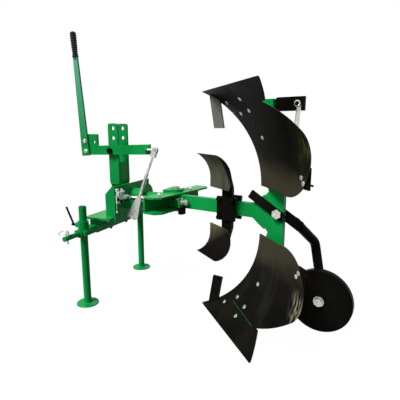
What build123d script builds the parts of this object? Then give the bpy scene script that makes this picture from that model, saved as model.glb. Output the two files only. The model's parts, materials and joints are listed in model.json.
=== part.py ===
"""One-furrow reversible moldboard plough for a small tractor's three-point hitch.

A headstock with a lever-worked pull rod stands on two parking legs. Behind it a turnover unit
swings half a turn about a lengthwise shaft: a beam that carries a left-hand and a right-hand body,
one above the other, each with its own skimmer, and one gauge wheel on a swinging arm.

The pieces are laid out in the hitch frame: X runs rearward from the hitch cross bar, Y to the
plough's right and Z up from the floor. The turnover unit's pieces are laid out in the beam frame,
whose origin is the swivel bolt on the turnover axis: x rearward along the beam, y to the right and
h the distance from the turnover axis, so that the upper body is the lower one mirrored.
"""
from build123d import *
import os
from math import asin, atan2, cos, degrees, radians, sin, sqrt

# Heights: the turnover axis above the floor and above the cross bar, the top link above the bar
AXIS_HEIGHT = 477.0
AXIS_OVER_BAR = 134.0
MAST_HEIGHT = 460.0

# Clearances
RUNNING = 0.05
SLIDING = 0.3
MOVING = 5.5
SLOT_PLAY = 1.0
CUT = 1.0

# Hitch cross bar
PIN_DIAMETER = 22.0
PIN_HALF_SPAN = 372.0
SHOULDER_Y = 283.0
SHOULDER_DIAMETER = 36.0
SHOULDER_LENGTH = 10.0
LINCH_HOLE_DIAMETER = 10.5
LINCH_HOLE_INSET = 20.0
BAR_WIDTH = 60.0
BAR_DEPTH = 30.0
BAR_END_DEPTH = 20.0
BAR_STEP_Y = 189.0

# Parking legs
LEG_Y = 247.0
LEG_DIAMETER = 34.0
LEG_WALL = 4.0
LEG_OVER_BAR = 119.0
LEG_TRAVEL = 200.0
FOOT_DIAMETER = 100.0
FOOT_THICKNESS = 6.0
SOCKET_WALL = 7.0
SOCKET_HEIGHT = 42.0
SCREW_DIAMETER = 12.0
SCREW_BOSS_DIAMETER = 24.0
SCREW_BOSS_LENGTH = 12.0
SCREW_REACH = 62.0
HANDLE_DIAMETER = 9.0
HANDLE_RISE = 78.0
HANDLE_LEAN = 36.0

# Headstock weldment
BASE_THICKNESS = 10.0
BASE_FRONT = -38.0
BASE_HALF_WIDTH = 190.0
SPACER_HEIGHT = 30.0
SPACER_HALF_DEPTH = 27.0
SPACER_INNER_Y = 108.0
SPACER_OUTER_Y = 165.0
WEB_FRONT = 102.0
WEB_THICKNESS = 10.0
WEB_HALF_WIDTH = 160.0
WEB_DROP = 18.0
SIDE_THICKNESS = 10.0
SIDE_FRONT = 62.0
SIDE_SLANT = 36.0
HEADSTOCK_OVER_AXIS = 65.0

# Mast
MAST_FRONT = 12.0
MAST_DEPTH = 54.0
MAST_HALF_GAP = 36.0
MAST_WALL = 5.0
MAST_BOX_HEIGHT = 242.0
MAST_PLATE_THICKNESS = 10.0
MAST_PLATE_LAP = 104.0
MAST_PLATE_CORNER = 12.0
TOP_LINK_HOLE = 19.5
TOP_LINK_STEP = 46.0
TOP_LINK_MARGIN = 23.0

# Turnover bearing, shaft and lock
SHAFT_DIAMETER = 50.0
BEARING_DIAMETER = 76.0
BEARING_FRONT = 68.0
BEARING_REAR = 172.0
SHAFT_FRONT = 76.0
LOCK_DISC_DIAMETER = 128.0
LOCK_DISC_THICKNESS = 12.0
LOCK_RADIUS = 52.0
LOCK_HOLE = 18.0
PLUNGER_DIAMETER = 16.0
PLUNGER_FRONT = 86.0
PLUNGER_BUSH_DIAMETER = 26.0
PLUNGER_BUSH_LENGTH = 18.0

# Shaft head and cross channel
HEAD_FRONT = 300.0
HEAD_PLATE = 12.0
HEAD_HALF_WIDTH = 48.0
CHEEK_THICKNESS = 10.0
CHEEK_REAR_RADIUS = 34.0
SWIVEL_X = 345.0
SWIVEL_ANGLE = 12.0
SWIVEL_BOLT = 20.0
SWIVEL_HEAD_WIDTH = 32.0
SWIVEL_HEAD_HEIGHT = 12.0
BOLT_CLEARANCE = 0.4
CHANNEL_HALF_LENGTH = 207.0
CHANNEL_FRONT = -20.0
CHANNEL_WIDTH = 80.0
CHANNEL_WALL = 8.0
CHANNEL_CORNER = 26.0

# Beam and frog plate
BEAM_HEIGHT = 58.0
BEAM_THICKNESS = 25.0
BEAM_Y = -30.0
BEAM_END = 300.0
FROG_NECK = 415.0
FROG_REAR = 545.0
FROG_CROTCH_X = 480.0
FROG_CROTCH_H = 82.0
FROG_ARM_FRONT_X = 450.0
FROG_ARM_FRONT_H = 150.0
FROG_HEEL_FRONT = 317.0
FROG_HEEL_REAR = 487.0
FROG_HEEL_RISE = 45.0
FROG_TAPER_H = 210.0

# Plough body: the shin is an ellipse, the generators are level lines that open towards the top.
# A rise is a height above the share's cutting edge.
LANDSIDE_Y = -15.0
SHIN_TOP_X = 437.0
SHIN_TOP_H = 100.0
SHIN_REACH = 490.0
SHIN_SPARE = 38.0
SHARE_ANGLE = 37.2
TOP_ANGLE = 42.0
TWIST_POWER = 1.5
SHARE_LENGTH = 472.0
SHARE_DEPTH = 18.0
BOARD_DEPTH = 10.0
JOINT_SHIN_RISE = 91.0
JOINT_WING_X = 507.0
JOINT_WING_RISE = 64.0
JOINT_GAP = 1.0
BOARD_EDGE_X = 585.0
BOARD_EDGE_RISE = 102.0
TAIL_FOOT_X = 660.0
TAIL_FOOT_RISE = 155.0
TAIL_CORNER_X = 690.0
TAIL_CORNER_RISE = 191.0
TAIL_REAR_X = 700.0
TAIL_REAR_RISE = 262.0
TAIL_TOP_X = 650.0
TAIL_TOP_H = 110.0
BOARD_TOP_X = 560.0
BOARD_TOP_H = 98.0

# Landside, stay and fin coulter
LANDSIDE_THICKNESS = 12.0
LANDSIDE_FRONT = 372.0
LANDSIDE_HEEL_X = 474.0
LANDSIDE_REAR = 598.0
LANDSIDE_RISE = 39.0
LANDSIDE_HEIGHT = 51.0
LANDSIDE_CORNER = 18.0
STAY_DIAMETER = 16.0
STAY_X = 572.0
STAY_TAIL_RISE = 159.0
STAY_TAIL_LENGTH = 361.0
FIN_THICKNESS = 10.0
FIN_HEIGHT = 135.0
FIN_FOOT_X = 198.0
FIN_WIDTH = 46.0
FIN_LEAN = 24.0
FIN_FOOT_RISE = 17.0

# Skimmers: the leading edge is straight at its top and elliptic below
SKIM_Y = -30.0
SKIM_TOP_X = 208.0
SKIM_TOP_H = 80.0
SKIM_CURVE_H = 120.0
SKIM_REACH = 123.0
SKIM_SPARE = 10.0
SKIM_ANGLE = 30.0
SKIM_EDGE_H = 220.0
SKIM_EDGE_LENGTH = 165.0
SKIM_MIDDLE_LENGTH = 172.0
SKIM_TOP_LENGTH = 150.0
SKIM_DEPTH = 10.0
SHANK_FRONT = 285.0
SHANK_WIDTH = 46.0
SHANK_THICKNESS = 20.0
SHANK_GAP = 2.0
SHANK_END_H = 165.0
SHANK_FOOT_REACH = 70.0
CLAMP_HALF_LENGTH = 42.0
CLAMP_HALF_HEIGHT = 50.0
CLAMP_THICKNESS = 10.0
CLAMP_BOLT = 12.0
CLAMP_HEAD_WIDTH = 19.0

# Gauge wheel, its arm and the stop bar on the frog plate
ARM_PIVOT_INSET = 23.0
ARM_PIN = 24.0
ARM_THICKNESS = 10.0
ARM_WIDTH = 40.0
ARM_ANGLE = 31.3
ARM_REAR = 96.0
ARM_HEAD_WIDTH = 34.0
ARM_HEAD_HEIGHT = 8.0
STOP_WIDTH = 34.0
STOP_FRONT = 135.0
STOP_REAR = 30.0
SHANK_TUBE = 38.0
WHEEL_X = 680.0
WHEEL_Y = 40.0
WHEEL_DIAMETER = 256.0
WHEEL_WIDTH = 30.0
WHEEL_DISH = 6.0
RIM_WALL = 7.0
RIM_FLAT = 20.0
RIM_CHAMFER = 4.0
DISC_WALL = 6.0
HUB_DIAMETER = 54.0
HUB_LENGTH = 40.0
HUB_PROUD = 4.0
AXLE_DIAMETER = 25.0
AXLE_WASHER_DIAMETER = 42.0
AXLE_WASHER = 4.0
AXLE_NUT_WIDTH = 30.0
AXLE_NUT = 12.0
STEM_Y = 92.0

# Turnover lever and pull rod
LEVER_PIVOT_X = 30.0
LEVER_PIVOT_DROP = 105.0
LEVER_BOLT = 16.0
LEVER_SPACER_DIAMETER = 30.0
LEVER_SPACER = 6.0
LEVER_HEAD_WIDTH = 26.0
LEVER_HEAD = 8.0
LEVER_ARM_THICKNESS = 10.0
LEVER_ARM_HEIGHT = 46.0
LEVER_ARM_FRONT = -128.0
LEVER_ARM_REAR = 247.0
LEVER_TAB_REAR = -38.0
LEVER_TAB_RISE = 78.0
LEVER_HOLE = 14.0
LEVER_HOLE_X = -59.0
LEVER_HOLE_RISE = 40.0
LEVER_BOSS_DIAMETER = 24.0
LEVER_FOOT_X = -104.0
LEVER_FOOT_DROP = 26.0
LEVER_TOP_X = -142.0
LEVER_TOP_RISE = 546.0
LEVER_BAR_THICKNESS = 10.0
LEVER_FOOT_WIDTH = 42.0
LEVER_TOP_WIDTH = 24.0
GRIP_LENGTH = 112.0
GRIP_DIAMETER = 30.0
GRIP_CHAMFER = 6.0
ROD_EYE_X = 285.0
ROD_EYE_RISE = 10.0
ROD_STUD = 10.0
ROD_PIN = 12.0
CLEVIS_WIDTH = 22.0
CLEVIS_GAP = 14.0
CLEVIS_CHEEK = 5.0
CLEVIS_THROAT = 22.0
CLEVIS_LENGTH = 34.0
ROD_NECK = 11.0
ROD_NECK_END = 118.0
ROD_DIAMETER = 16.0
YOKE_X = 160.0
YOKE_OVER_BASE = 16.0
YOKE_LENGTH = 96.0
YOKE_THICKNESS = 12.0
YOKE_WIDTH = 52.0
YOKE_END = 22.0
YOKE_CORNER = 8.0
YOKE_SLOT = 48.0
YOKE_POCKET = 8.0
LATCH_THICKNESS = 7.0
LATCH_HEIGHT = 40.0
LATCH_MARGIN = 14.0
LATCH_STUD = 14.0

# Values that follow from the driving dimensions
BAR_HEIGHT = AXIS_HEIGHT - AXIS_OVER_BAR
BAR_TOP = BAR_HEIGHT + BAR_DEPTH / 2
LEG_TOP = BAR_HEIGHT + LEG_OVER_BAR
SOCKET_BOTTOM = BAR_HEIGHT + BAR_END_DEPTH / 2
SOCKET_DIAMETER = LEG_DIAMETER + 2 * SLIDING + 2 * SOCKET_WALL
SCREW_Z = SOCKET_BOTTOM + SOCKET_HEIGHT / 2
BASE_BOTTOM = BAR_TOP + SPACER_HEIGHT
BASE_TOP = BASE_BOTTOM + BASE_THICKNESS
WEB_REAR = WEB_FRONT + WEB_THICKNESS
HEADSTOCK_TOP = AXIS_HEIGHT + HEADSTOCK_OVER_AXIS
MAST_REAR = MAST_FRONT + MAST_DEPTH
TOP_LINK_X = MAST_FRONT + MAST_DEPTH / 2
TOP_LINK_Z = BAR_HEIGHT + MAST_HEIGHT
MAST_TOP = TOP_LINK_Z + TOP_LINK_MARGIN
MAST_BOX_TOP = BASE_TOP + MAST_BOX_HEIGHT
MAST_PLATE_BOTTOM = MAST_BOX_TOP - MAST_PLATE_LAP
MAST_OUTER_Y = MAST_HALF_GAP + MAST_PLATE_THICKNESS
LOCK_DISC_FRONT = BEARING_REAR + MOVING
CHANNEL_HALF_HEIGHT = BEAM_HEIGHT / 2 + CHANNEL_WALL
CHANNEL_REAR = CHANNEL_FRONT + CHANNEL_WIDTH
HEAD_HALF_HEIGHT = CHANNEL_HALF_HEIGHT + CHEEK_THICKNESS
BEAM_LEFT = BEAM_Y - BEAM_THICKNESS / 2
BEAM_RIGHT = BEAM_Y + BEAM_THICKNESS / 2
STOP_BAR_Y = BEAM_LEFT - ARM_THICKNESS
ARM_BAR_Y = BEAM_RIGHT + MOVING
ARM_PIVOT_X = FROG_REAR - ARM_PIVOT_INSET
FROG_HEEL_H = AXIS_HEIGHT - FROG_HEEL_RISE
SHIN_RISE = AXIS_HEIGHT - SHIN_TOP_H + SHIN_SPARE
JOINT_SHIN_H = AXIS_HEIGHT - JOINT_SHIN_RISE
JOINT_WING_H = AXIS_HEIGHT - JOINT_WING_RISE
LANDSIDE_OUTER_H = AXIS_HEIGHT - LANDSIDE_RISE
LANDSIDE_INNER_H = LANDSIDE_OUTER_H - LANDSIDE_HEIGHT
STAY_H = (LANDSIDE_INNER_H + LANDSIDE_OUTER_H) / 2
STAY_TAIL_H = AXIS_HEIGHT - STAY_TAIL_RISE
FIN_FOOT_H = AXIS_HEIGHT - FIN_FOOT_RISE
SKIM_RISE = SKIM_EDGE_H - SKIM_CURVE_H + SKIM_SPARE
SHANK_LEFT = BEAM_LEFT - SHANK_THICKNESS
CLAMP_MIDDLE = SHANK_FRONT + SHANK_WIDTH / 2
WHEEL_H = AXIS_HEIGHT - WHEEL_DIAMETER / 2
HUB_LEFT = -WHEEL_WIDTH / 2 + WHEEL_DISH - HUB_PROUD
AXLE_END_Y = WHEEL_Y + HUB_LEFT - SLIDING
ARM_SWING = 2 * degrees(atan2(WHEEL_H, WHEEL_X - ARM_PIVOT_X))
LEVER_PIVOT_Z = TOP_LINK_Z - LEVER_PIVOT_DROP
LEVER_TAB_TOP = LEVER_PIVOT_Z + LEVER_TAB_RISE
LEVER_FOOT_Z = LEVER_PIVOT_Z - LEVER_FOOT_DROP
LEVER_TOP_Z = LEVER_PIVOT_Z + LEVER_TOP_RISE
LEVER_ARM_RIGHT = -MAST_OUTER_Y - LEVER_SPACER
LEVER_ARM_LEFT = LEVER_ARM_RIGHT - LEVER_ARM_THICKNESS
LEVER_BOSS_X = LEVER_ARM_REAR - 2 * LEVER_BOSS_DIAMETER / 3
ROD_EYE_Z = LEVER_PIVOT_Z + ROD_EYE_RISE
ROD_RIGHT = LEVER_ARM_LEFT - MOVING - LEVER_BAR_THICKNESS
ROD_Y = ROD_RIGHT - YOKE_THICKNESS / 2
YOKE_Z = BASE_BOTTOM + YOKE_OVER_BASE
BEAM_FRAME = Location((SWIVEL_X, 0, AXIS_HEIGHT), (0, 0, -SWIVEL_ANGLE))
REACH = SHARE_LENGTH
OVERLAP = 30.0
GRID_ROWS = 11


def block(x, y, z):
    """A box from its ranges along X, Y and Z."""
    size = [b - a for a, b in (x, y, z)]
    middle = [(a + b) / 2 for a, b in (x, y, z)]
    return Pos(*middle) * Box(*size)


def rod(start, end, diameter):
    """A round bar between two points."""
    run = Vector(*end) - Vector(*start)
    return Solid.make_cylinder(diameter / 2, run.length, Plane(origin=start, z_dir=run))


def nut(start, end, width):
    """A hexagon head or nut between two points, of a width across its flats."""
    run = Vector(*end) - Vector(*start)
    hexagon = RegularPolygon(width / 2, 6, major_radius=False)
    return extrude(Plane(origin=start, z_dir=run) * hexagon, run.length)


def side_plate(outline, y_low, y_high):
    """A plate cut to an outline in the X and Z directions, between two Y planes."""
    return extrude(Plane.XZ.offset(-y_high) * outline, y_high - y_low)


def polygon(points):
    """A flat face with straight sides."""
    return make_face(Polyline(points, close=True))


def mirrored(piece):
    """The same piece on the other side of the turnover axis, in the beam frame."""
    return piece.mirror(Plane.XY)


# Plough body surfaces
def generator_turn(h):
    """The angle between a level line of the body and the beam, at a distance from the axis."""
    lift = max(0.0, (AXIS_HEIGHT - h) / (AXIS_HEIGHT - SHIN_TOP_H))
    return radians(SHARE_ANGLE + (TOP_ANGLE - SHARE_ANGLE) * lift ** TWIST_POWER)


def ellipse_edge(h, top_x, top_h, reach, rise):
    """The x of a leading edge that curves from upright at its top to flat at its point."""
    across = max(0.0, (h - top_h) / rise)
    return top_x - reach * (1 - sqrt(1 - across * across))


def shin_x(h):
    return ellipse_edge(h, SHIN_TOP_X, SHIN_TOP_H, SHIN_REACH, SHIN_RISE)


def skimmer_shin_x(h):
    return ellipse_edge(h, SKIM_TOP_X, SKIM_CURVE_H, SKIM_REACH, SKIM_RISE)


def body_point(h, s):
    """The point of the body's face at a distance from the axis and at a length along its level line."""
    turn = generator_turn(h)
    return Vector(shin_x(h) + s * cos(turn), LANDSIDE_Y - s * sin(turn), -h)


def body_face():
    """The twisted face of share and moldboard, ruled from the shin to an outer edge by level lines."""
    top = BOARD_TOP_H - OVERLAP
    steps = [row / (GRID_ROWS - 1) for row in range(GRID_ROWS)]
    heights = [top + (AXIS_HEIGHT + CUT - top) * step for step in steps]
    edges = []
    for length in (0.0, SHARE_LENGTH + OVERLAP):
        edges.append(Edge.make_spline([body_point(h, length) for h in heights], parameters=steps))
    return Face.make_surface_from_curves(*edges)


BODY_FACE = body_face()


def behind(face, depth):
    """The solid swept rearward by a curved face."""
    return Solid.extrude(face, Vector(depth, 0, 0))


def beam_prism(outline):
    """A prism across the beam from an outline in x and h, below the axis."""
    return side_plate(outline, -REACH, REACH)


def joint_h(x):
    """The line where share and moldboard meet, seen from the side."""
    slope = (JOINT_WING_H - JOINT_SHIN_H) / (JOINT_WING_X - shin_x(JOINT_SHIN_H))
    return JOINT_SHIN_H + slope * (x - shin_x(JOINT_SHIN_H))


def share():
    """The cutting share: a thick wedge that narrows to its point and to its wing."""
    wing_x = shin_x(AXIS_HEIGHT) + SHARE_LENGTH * cos(radians(SHARE_ANGLE))
    front_x = shin_x(AXIS_HEIGHT) - OVERLAP
    outline = polygon([
        (front_x, -AXIS_HEIGHT),
        (wing_x + SHARE_DEPTH, -AXIS_HEIGHT),
        (JOINT_WING_X + SHARE_DEPTH, -joint_h(JOINT_WING_X + SHARE_DEPTH)),
        (front_x, -joint_h(front_x)),
    ])
    return behind(BODY_FACE, SHARE_DEPTH) & beam_prism(outline)


def moldboard():
    """The twisted moldboard with its rounded tail."""
    start_x = shin_x(JOINT_SHIN_H) - OVERLAP
    with BuildSketch() as outline:
        with BuildLine():
            l1 = Line((start_x, -joint_h(start_x) + JOINT_GAP),
                      (JOINT_WING_X, -joint_h(JOINT_WING_X) + JOINT_GAP))
            l2 = ThreePointArc(l1 @ 1, (BOARD_EDGE_X, BOARD_EDGE_RISE - AXIS_HEIGHT),
                               (TAIL_FOOT_X, TAIL_FOOT_RISE - AXIS_HEIGHT))
            l3 = Spline(l2 @ 1, (TAIL_CORNER_X, TAIL_CORNER_RISE - AXIS_HEIGHT),
                        (TAIL_REAR_X, TAIL_REAR_RISE - AXIS_HEIGHT),
                        (TAIL_TOP_X, -TAIL_TOP_H), (BOARD_TOP_X, -BOARD_TOP_H))
            l4 = Line(l3 @ 1, (SHIN_TOP_X - OVERLAP, -SHIN_TOP_H))
            Line(l4 @ 1, (start_x, -SHIN_TOP_H))
            Line((start_x, -SHIN_TOP_H), l1 @ 0)
        make_face()
    return behind(BODY_FACE, BOARD_DEPTH) & beam_prism(outline.sketch)


def frog_plate():
    """The Y-shaped plate that carries both bodies behind the beam."""
    half = BEAM_HEIGHT / 2
    corner = [
        (BEAM_END, -half), (FROG_NECK, -half), (FROG_CROTCH_X, -FROG_CROTCH_H),
    ]
    arm = [
        (FROG_ARM_FRONT_X, -FROG_ARM_FRONT_H), (FROG_HEEL_FRONT, -FROG_HEEL_H),
        (FROG_HEEL_REAR, -FROG_HEEL_H), (FROG_HEEL_REAR, -LANDSIDE_INNER_H),
        (FROG_REAR, -FROG_TAPER_H),
    ]
    lower = corner + arm
    upper = [(x, -z) for x, z in reversed(lower)]
    plate = side_plate(polygon(lower + upper), BEAM_LEFT, BEAM_RIGHT)
    front = Solid.extrude(BODY_FACE, Vector(-REACH, 0, 0))
    occupied = front + behind(BODY_FACE, SHARE_DEPTH)
    plate = plate - occupied - mirrored(occupied)
    bore = rod((ARM_PIVOT_X, BEAM_LEFT - CUT, 0), (ARM_PIVOT_X, BEAM_RIGHT + CUT, 0), ARM_PIN + 2 * RUNNING)
    return plate - bore


def landside():
    """The flat bar that leans on the furrow wall, wider behind the frog plate's heel."""
    neck_h = LANDSIDE_OUTER_H - LANDSIDE_CORNER
    outline = polygon([
        (LANDSIDE_FRONT, -LANDSIDE_INNER_H), (LANDSIDE_FRONT, -neck_h), (LANDSIDE_HEEL_X, -neck_h),
        (LANDSIDE_HEEL_X + LANDSIDE_CORNER, -LANDSIDE_OUTER_H), (LANDSIDE_REAR, -LANDSIDE_OUTER_H),
        (LANDSIDE_REAR, -LANDSIDE_INNER_H),
    ])
    return side_plate(outline, BEAM_RIGHT, BEAM_RIGHT + LANDSIDE_THICKNESS)


def board_stay():
    """The round stay from the landside's heel to the back of the moldboard's tail."""
    start = (STAY_X, BEAM_RIGHT + STAY_DIAMETER, -STAY_H)
    end = tuple(body_point(STAY_TAIL_H, STAY_TAIL_LENGTH))
    inside = block((0, FROG_REAR + REACH), (-REACH, BEAM_RIGHT), (-AXIS_HEIGHT, 0))
    front = Solid.extrude(BODY_FACE, Vector(-REACH, 0, 0))
    return (rod(start, end, STAY_DIAMETER) & inside) - front - behind(BODY_FACE, BOARD_DEPTH)


def fin_coulter():
    """The upright knife that stands on the share's shin."""
    outline = polygon([
        (FIN_FOOT_X, -FIN_FOOT_H), (FIN_FOOT_X + FIN_WIDTH, -FIN_FOOT_H),
        (FIN_FOOT_X + FIN_WIDTH + FIN_LEAN, -FIN_FOOT_H + FIN_HEIGHT),
        (FIN_FOOT_X + FIN_LEAN, -FIN_FOOT_H + FIN_HEIGHT),
    ])
    return side_plate(outline, LANDSIDE_Y - FIN_THICKNESS, LANDSIDE_Y) - behind(BODY_FACE, REACH)


def skimmer_sheet(front, rear):
    """The skimmer's curved sheet between two distances behind its leading edge, along its level lines."""
    turn = radians(SKIM_ANGLE)
    arc = degrees(asin((SKIM_EDGE_H + CUT - SKIM_CURVE_H) / SKIM_RISE))
    sides = []
    for back in (front, rear):
        x = SKIM_TOP_X + back
        curve = EllipticalCenterArc((x - SKIM_REACH, -SKIM_CURVE_H), SKIM_REACH, SKIM_RISE, arc_size=-arc)
        sides.append([curve, Line(curve @ 0, (x, -SKIM_TOP_H + OVERLAP))])
    ends = [Line(sides[0][0] @ 1, sides[1][0] @ 1), Line(sides[0][1] @ 1, sides[1][1] @ 1)]
    section = Plane.XZ.offset(-SKIM_Y) * make_face(sides[0] + sides[1] + ends)
    return extrude(section, SKIM_MIDDLE_LENGTH + OVERLAP, dir=(cos(turn), -sin(turn), 0))


def skimmer():
    """The small moldboard that pares the turf ahead of the body."""
    slope = cos(radians(SKIM_ANGLE))
    middle_h = (SKIM_EDGE_H + SKIM_TOP_H) / 2
    front_x = skimmer_shin_x(SKIM_EDGE_H) - OVERLAP
    wing_x = skimmer_shin_x(SKIM_EDGE_H) + SKIM_EDGE_LENGTH * slope
    middle_x = skimmer_shin_x(middle_h) + SKIM_MIDDLE_LENGTH * slope
    top_x = SKIM_TOP_X + SKIM_TOP_LENGTH * slope
    with BuildSketch() as outline:
        with BuildLine():
            l1 = Line((front_x, -SKIM_EDGE_H), (wing_x, -SKIM_EDGE_H))
            l2 = ThreePointArc(l1 @ 1, (middle_x, -middle_h), (top_x, -SKIM_TOP_H))
            l3 = Line(l2 @ 1, (front_x, -SKIM_TOP_H))
            Line(l3 @ 1, l1 @ 0)
        make_face()
    return skimmer_sheet(0.0, SKIM_DEPTH) & beam_prism(outline.sketch)


def skimmer_shank():
    """The flat shank from the clamp to the back of the skimmer, bent forward at its foot."""
    rear = SHANK_FRONT + SHANK_WIDTH
    bend = (SHANK_GAP + SHANK_END_H) / 2
    foot = SHANK_FRONT - SHANK_FOOT_REACH
    outline = polygon([
        (SHANK_FRONT, -SHANK_GAP), (SHANK_FRONT, -bend), (foot, -SHANK_END_H),
        (rear - SHANK_WIDTH / 2, -SHANK_END_H), (rear, -bend), (rear, -SHANK_GAP),
    ])
    return side_plate(outline, SHANK_LEFT, BEAM_LEFT) - skimmer_sheet(-REACH, SKIM_DEPTH)


def clamp_corners():
    """The four places of the clamp bolts, in x and h."""
    inset = CLAMP_BOLT
    xs = (CLAMP_MIDDLE - CLAMP_HALF_LENGTH + inset, CLAMP_MIDDLE + CLAMP_HALF_LENGTH - inset)
    hs = (-CLAMP_HALF_HEIGHT + inset, CLAMP_HALF_HEIGHT - inset)
    return [(x, h) for x in xs for h in hs]


def clamp_plate(y_low):
    """One of the two plates that hold the skimmer shanks to the beam."""
    length = (CLAMP_MIDDLE - CLAMP_HALF_LENGTH, CLAMP_MIDDLE + CLAMP_HALF_LENGTH)
    plate = block(length, (y_low, y_low + CLAMP_THICKNESS), (-CLAMP_HALF_HEIGHT, CLAMP_HALF_HEIGHT))
    for x, h in clamp_corners():
        plate -= rod((x, y_low - CUT, h), (x, y_low + CLAMP_THICKNESS + CUT, h), CLAMP_BOLT + BOLT_CLEARANCE)
    return plate


def clamp_bolts():
    """The four long bolts of the skimmer clamp."""
    start = SHANK_LEFT - 2 * CLAMP_THICKNESS
    end = BEAM_RIGHT + 2 * CLAMP_THICKNESS
    bolts = [rod((x, start, h), (x, end, h), CLAMP_BOLT) for x, h in clamp_corners()]
    for x, h in clamp_corners():
        bolts.append(nut((x, start, h), (x, start + CLAMP_THICKNESS, h), CLAMP_HEAD_WIDTH))
        bolts.append(nut((x, end - CLAMP_THICKNESS, h), (x, end, h), CLAMP_HEAD_WIDTH))
    return Part() + bolts


# Gauge wheel
def arm_strip(front, rear, width, y_low):
    """A flat bar through the arm's pivot, sloping down to the rear."""
    outline = Pos(ARM_PIVOT_X, 0) * Rot(0, 0, -ARM_ANGLE) * Pos((rear - front) / 2, 0)
    strip = side_plate(outline * Rectangle(front + rear, width), y_low, y_low + ARM_THICKNESS)
    ends = ((ARM_PIVOT_X, y_low - CUT, 0), (ARM_PIVOT_X, y_low + ARM_THICKNESS + CUT, 0))
    return strip - rod(*ends, ARM_PIN + BOLT_CLEARANCE)


def arm_pin():
    """The pin that turns in the frog plate, with a hexagon head on its left and a cap on its right."""
    head = STOP_BAR_Y - SLIDING
    cap = ARM_BAR_Y + ARM_THICKNESS
    pin = rod((ARM_PIVOT_X, head, 0), (ARM_PIVOT_X, cap, 0), ARM_PIN)
    pin += nut((ARM_PIVOT_X, head, 0), (ARM_PIVOT_X, head - ARM_HEAD_HEIGHT, 0), ARM_HEAD_WIDTH)
    return pin + rod((ARM_PIVOT_X, cap, 0), (ARM_PIVOT_X, cap + ARM_HEAD_HEIGHT, 0), ARM_HEAD_WIDTH)


def wheel_stem():
    """The bent tube from the arm to the axle, with the axle welded across its foot."""
    bar_face = ARM_BAR_Y + ARM_THICKNESS
    reach = ARM_REAR - SHANK_TUBE / 2
    seat = Vector(ARM_PIVOT_X + reach * cos(radians(ARM_ANGLE)), bar_face, -reach * sin(radians(ARM_ANGLE)))
    elbow = Vector((seat.X + WHEEL_X) / 2, STEM_Y, (seat.Z - WHEEL_H) / 3)
    start = seat - (elbow - seat).normalized() * SHANK_TUBE
    end = Vector(WHEEL_X, STEM_Y, -WHEEL_H - SHANK_TUBE / 2)
    path = FilletPolyline(start, elbow, end, radius=SHANK_TUBE)
    tube = sweep(Plane(origin=path @ 0, z_dir=path % 0) * Circle(SHANK_TUBE / 2), path)
    tube &= block((0, WHEEL_X + REACH), (bar_face, REACH), (-AXIS_HEIGHT, AXIS_HEIGHT))
    axle = rod((WHEEL_X, STEM_Y, -WHEEL_H), (WHEEL_X, AXLE_END_Y, -WHEEL_H), AXLE_DIAMETER)
    return tube + axle


def axle_cap():
    """The washer and nut that keep the wheel on its axle."""
    seat = Vector(WHEEL_X, AXLE_END_Y, -WHEEL_H)
    nut_seat = seat - Vector(0, AXLE_WASHER, 0)
    washer = rod(tuple(seat), tuple(nut_seat), AXLE_WASHER_DIAMETER)
    return washer + nut(tuple(nut_seat), tuple(nut_seat - Vector(0, AXLE_NUT, 0)), AXLE_NUT_WIDTH)


def gauge_wheel():
    """A pressed wheel, dished on its left and open on its right, with a plain hub, turned about its axle."""
    outer = WHEEL_DIAMETER / 2
    half = WHEEL_WIDTH / 2
    hub = HUB_DIAMETER / 2
    bore = AXLE_DIAMETER / 2 + RUNNING
    hub_right = HUB_LEFT + HUB_LENGTH
    dish_left = WHEEL_DISH - half
    profile = polygon([
        (bore, HUB_LEFT), (hub, HUB_LEFT), (hub, dish_left), (outer - RIM_FLAT, -half), (outer, -half),
        (outer, half), (outer - RIM_WALL, half), (outer - RIM_WALL, DISC_WALL - half),
        (outer - RIM_FLAT, DISC_WALL - half), (hub, dish_left + DISC_WALL), (hub, hub_right),
        (bore, hub_right),
    ])
    profile = chamfer(profile.vertices().group_by(Axis.X)[-1], RIM_CHAMFER)
    return Pos(WHEEL_X, WHEEL_Y, -WHEEL_H) * revolve(profile, Axis.Y)


# Turnover shaft and cross channel
def turn_shaft():
    """The shaft in the headstock's bearing, with its lock disc."""
    shaft = rod((SHAFT_FRONT, 0, AXIS_HEIGHT), (HEAD_FRONT, 0, AXIS_HEIGHT), SHAFT_DIAMETER)
    rear = LOCK_DISC_FRONT + LOCK_DISC_THICKNESS
    shaft += rod((LOCK_DISC_FRONT, 0, AXIS_HEIGHT), (rear, 0, AXIS_HEIGHT), LOCK_DISC_DIAMETER)
    for y in (-LOCK_RADIUS, LOCK_RADIUS):
        shaft -= rod((LOCK_DISC_FRONT - CUT, y, AXIS_HEIGHT), (rear + CUT, y, AXIS_HEIGHT), LOCK_HOLE)
    return shaft


def shaft_head():
    """The welded fork on the shaft's end, with a rounded cheek above and below the channel."""
    plate_rear = HEAD_FRONT + HEAD_PLATE
    head = block((HEAD_FRONT, plate_rear), (-HEAD_HALF_WIDTH, HEAD_HALF_WIDTH),
                 (AXIS_HEIGHT - HEAD_HALF_HEIGHT, AXIS_HEIGHT + HEAD_HALF_HEIGHT))
    outline = polygon([(plate_rear, -HEAD_HALF_WIDTH), (SWIVEL_X, -CHEEK_REAR_RADIUS),
                       (SWIVEL_X, CHEEK_REAR_RADIUS), (plate_rear, HEAD_HALF_WIDTH)])
    outline += Pos(SWIVEL_X, 0) * Circle(CHEEK_REAR_RADIUS)
    outline -= Pos(SWIVEL_X, 0) * Circle(SWIVEL_BOLT / 2 + BOLT_CLEARANCE)
    for bottom in (CHANNEL_HALF_HEIGHT, -HEAD_HALF_HEIGHT):
        head += Pos(0, 0, AXIS_HEIGHT + bottom) * extrude(outline, CHEEK_THICKNESS)
    return head


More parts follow.
